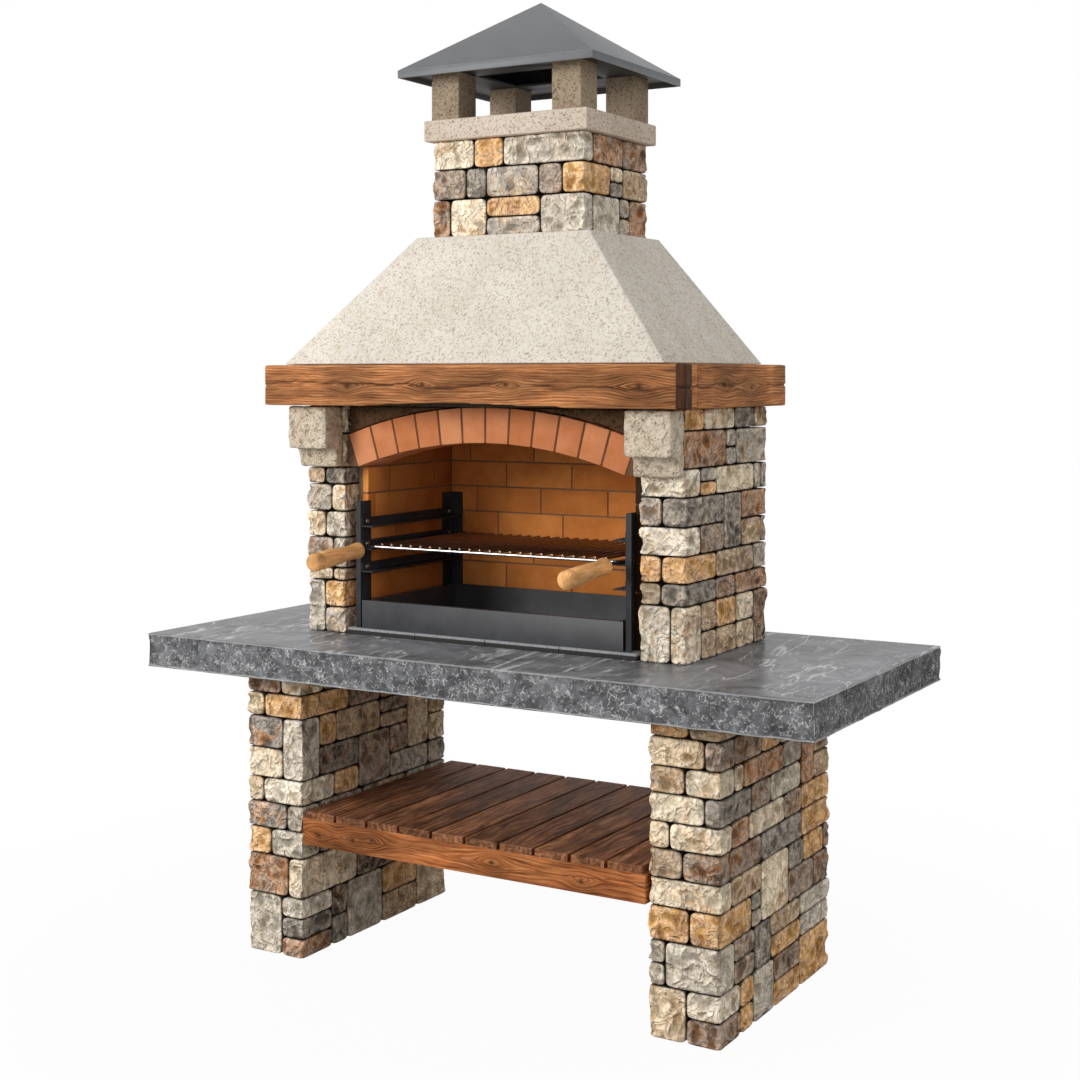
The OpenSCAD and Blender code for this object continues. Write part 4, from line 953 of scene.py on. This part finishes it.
# painted shade: the right wall's mortar is a darker copy of the lining mortar
shadedMortar = sandyCement("lining mortar, shaded", "#4A382A", "#66503D", 4)
backRender = sandyCement("lining mortar, rendered back", "#7C5F48", "#A08468", 4,
                         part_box("lining_back_mortar")[1].y - 3 * mm)
for wall, brick, mortar in (("left", leftBrick, wallMortar), ("right", rightBrick, shadedMortar),
                            ("back", liningBrick, backRender)):
    roundedCopy("lining_" + wall + "_bricks", 1.5, 2, brick)
    dress("lining_" + wall + "_mortar", mortar)
dress("arch_mortar", sandyCement("arch mortar", "#5E4433", "#84644C", 4))
blockWork = sandyCement("concrete block", "#3B352F", "#5A5249", 6)
for core in ("leg_left_core", "leg_right_core", "pier_left_core", "pier_right_core", "flue_liner",
             "smoke_collar"):
    dress(core, blockWork)
tile = castConcrete("hearth tile", ("#929395", "#9FA0A2", "#7E7E80", "#68686A"), 3, 8, 0.7, 0.4,
                    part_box("hearth_tiles")[0].z + 10.5 * mm)
roundedCopy("hearth_tiles", 1.5, 2, tile)
print("Brickwork done")

# a coat has its name, its tone, the pale tone of its dust and of its edges (wear and painted highlight),
# its roughness, its grain and relief in mm, and how metallic and shiny it is; with it go the eased
# edges' radius and angle, the slot and the pieces
for coat, radiusMm, angle, slotName, steelNodes in (
        (("stove paint on steel", "#2C2D2F", "#5C5D5F", 0.6, 1.2, 0.15, 0.0, 0.22), 0.5, 30, "black_steel",
         "upright_front_left upright_front_right upright_back_left upright_back_right "
         "frame_rails handle_rods"),
        (("stove paint on the tray", "#343537", "#6A6B6D", 0.5, 1.2, 0.15), 0.5, 30, "black_steel",
         "charcoal_tray"),
        (("zinc plated steel", "#C9CBCD", "#E0E2E3", 0.32, 3, 0.05, 1.0), 0.4, 30, "zinc_steel",
         "frame_bolts cowl_studs shelf_screws"),
        (("bright chrome", "#C6C8C9", "#DCDDDE", 0.22, 5, 0.02, 1.0), 0.8, 30, "grill_chrome", "grill_frame"),
        (("heat-browned steel rod", "#8A7567", "#AD9A8C", 0.42, 2, 0.08, 1.0), 0.5, 30, "rod_steel",
         "grill_rods"),
        (("grey powder coat", "#595B5E", "#86888B", 0.45, 0.8, 0.1), 1.0, 20, "cowl_steel", "cowl_roof"),
        (("steel plate, smoked", "#3C3A38", "#57534F", 0.6, 1.5, 0.2), 1.0, 30, "cowl_steel", "cowl_plate")):
    metal = paintedSheet(*coat)
    for steelNode in steelNodes.split():
        roundedCopy(steelNode, radiusMm, 2, metal, angle)
gripWood = stainedTimber("turned beech", ("#CC8F55", "#E0A569", "#EBB47A", "#F3C695"), "YXZ", 5, paleEdgeShare=0.3,
                         ringShare=0.15)
for grip in ("handle_grip_left", "handle_grip_right"):
    roundedCopy(grip, 0.5, 2, gripWood, 50)
print("Cooking gear done")


# Studio: each lamp has its name, its place, what it points at, its size and its watts

studio = {
    "eye": (2.1493, -3.6089, 1.4425),
    "pitch": 88.8,
    "turn": 30.6,
    "lens": 56.67,
    "shift": -0.119,
    "lamps": (("key", (-2.6, -4.6, 2.75), (0, 0, 1.15), 2.4, 186),
              ("fill", (4.2, -1.0, 2.2), (0, 0, 1.1), 3.0, 19)),
    "skyStrength": 0.6,
    "floorSize": 16,
    "floorTone": "#ABA69C",
    "fade": (0.6, 2.2, 0.965, 1.0),  # from and to how far out the paper burns to white, and from how white
}
white = (1, 1, 1, 1)


def seenBy(add, *rays):
    # 1 for the kinds of ray that are named
    path = add("LightPath")
    share = 0.0
    for ray in rays:
        share = add("Math", [share, path[ray]], operation="ADD")[0]
    return share


def setCamera():
    data = bpy.data.cameras.new("camera")
    data.lens = studio["lens"]
    data.sensor_width = 36
    data.shift_y = studio["shift"]
    camera = linkObject("camera", data)
    camera.location = studio["eye"]
    camera.rotation_euler = (math.radians(studio["pitch"]), 0, math.radians(studio["turn"]))
    scene.camera = camera


def addLamp(name, spot, aim, size, watts):
    data = bpy.data.lights.new(name, "AREA")
    data.shape = "DISK"
    data.size = size
    data.energy = watts
    lamp = linkObject(name, data)
    lamp.location = spot
    lamp.rotation_euler = (Vector(aim) - Vector(spot)).to_track_quat("-Z", "Y").to_euler()


def setWorld():
    # the camera and mirrors see white, and everything else is lit by a weaker sky
    world = bpy.data.worlds.new("studio")
    scene.world = world
    world.use_nodes = True
    world.node_tree.nodes.clear()
    add = partial(addNode, world.node_tree)
    seen = seenBy(add, "Is Camera Ray", "Is Glossy Ray", "Is Transmission Ray")
    sky, paper = [add("Background", {"Color": white, "Strength": strength})[0]
                  for strength in (studio["skyStrength"], 1.0)]
    add("OutputWorld", {"Surface": add("MixShader", [seen, sky, paper])[0]})
    scene.view_settings.view_transform = "Standard"


def layFloor():
    far = studio["floorSize"] / 2
    mesh = newMesh("floor", [(-far, -far, 0), (far, -far, 0), (far, far, 0), (-far, far, 0)], [(0, 1, 2, 3)])
    floor = linkObject("floor", mesh)
    material, add, where = startMaterial("white paper", Roughness=0.9, Specular_IOR_Level=0.1,
                                         Base_Color=linearColour(studio["floorTone"]))
    tree = material.node_tree
    away = add("VectorMath", [where], operation="LENGTH")["Value"]
    fade = add("MapRange", [away, *studio["fade"]], interpolation_type="SMOOTHSTEP")[0]
    share = add("Math", [seenBy(add, "Is Camera Ray", "Is Glossy Ray"), fade], operation="MULTIPLY")[0]
    glow = add("Emission", {"Color": white, "Strength": 1.0})[0]
    mixed = add("MixShader", [share, tree.nodes["Principled BSDF"].outputs[0], glow])[0]
    tree.links.new(mixed, tree.nodes["Material Output"].inputs["Surface"])
    mesh.materials.append(material)


setCamera()
for lamp in studio["lamps"]:
    addLamp(*lamp)
setWorld()
layFloor()
print("Studio set")
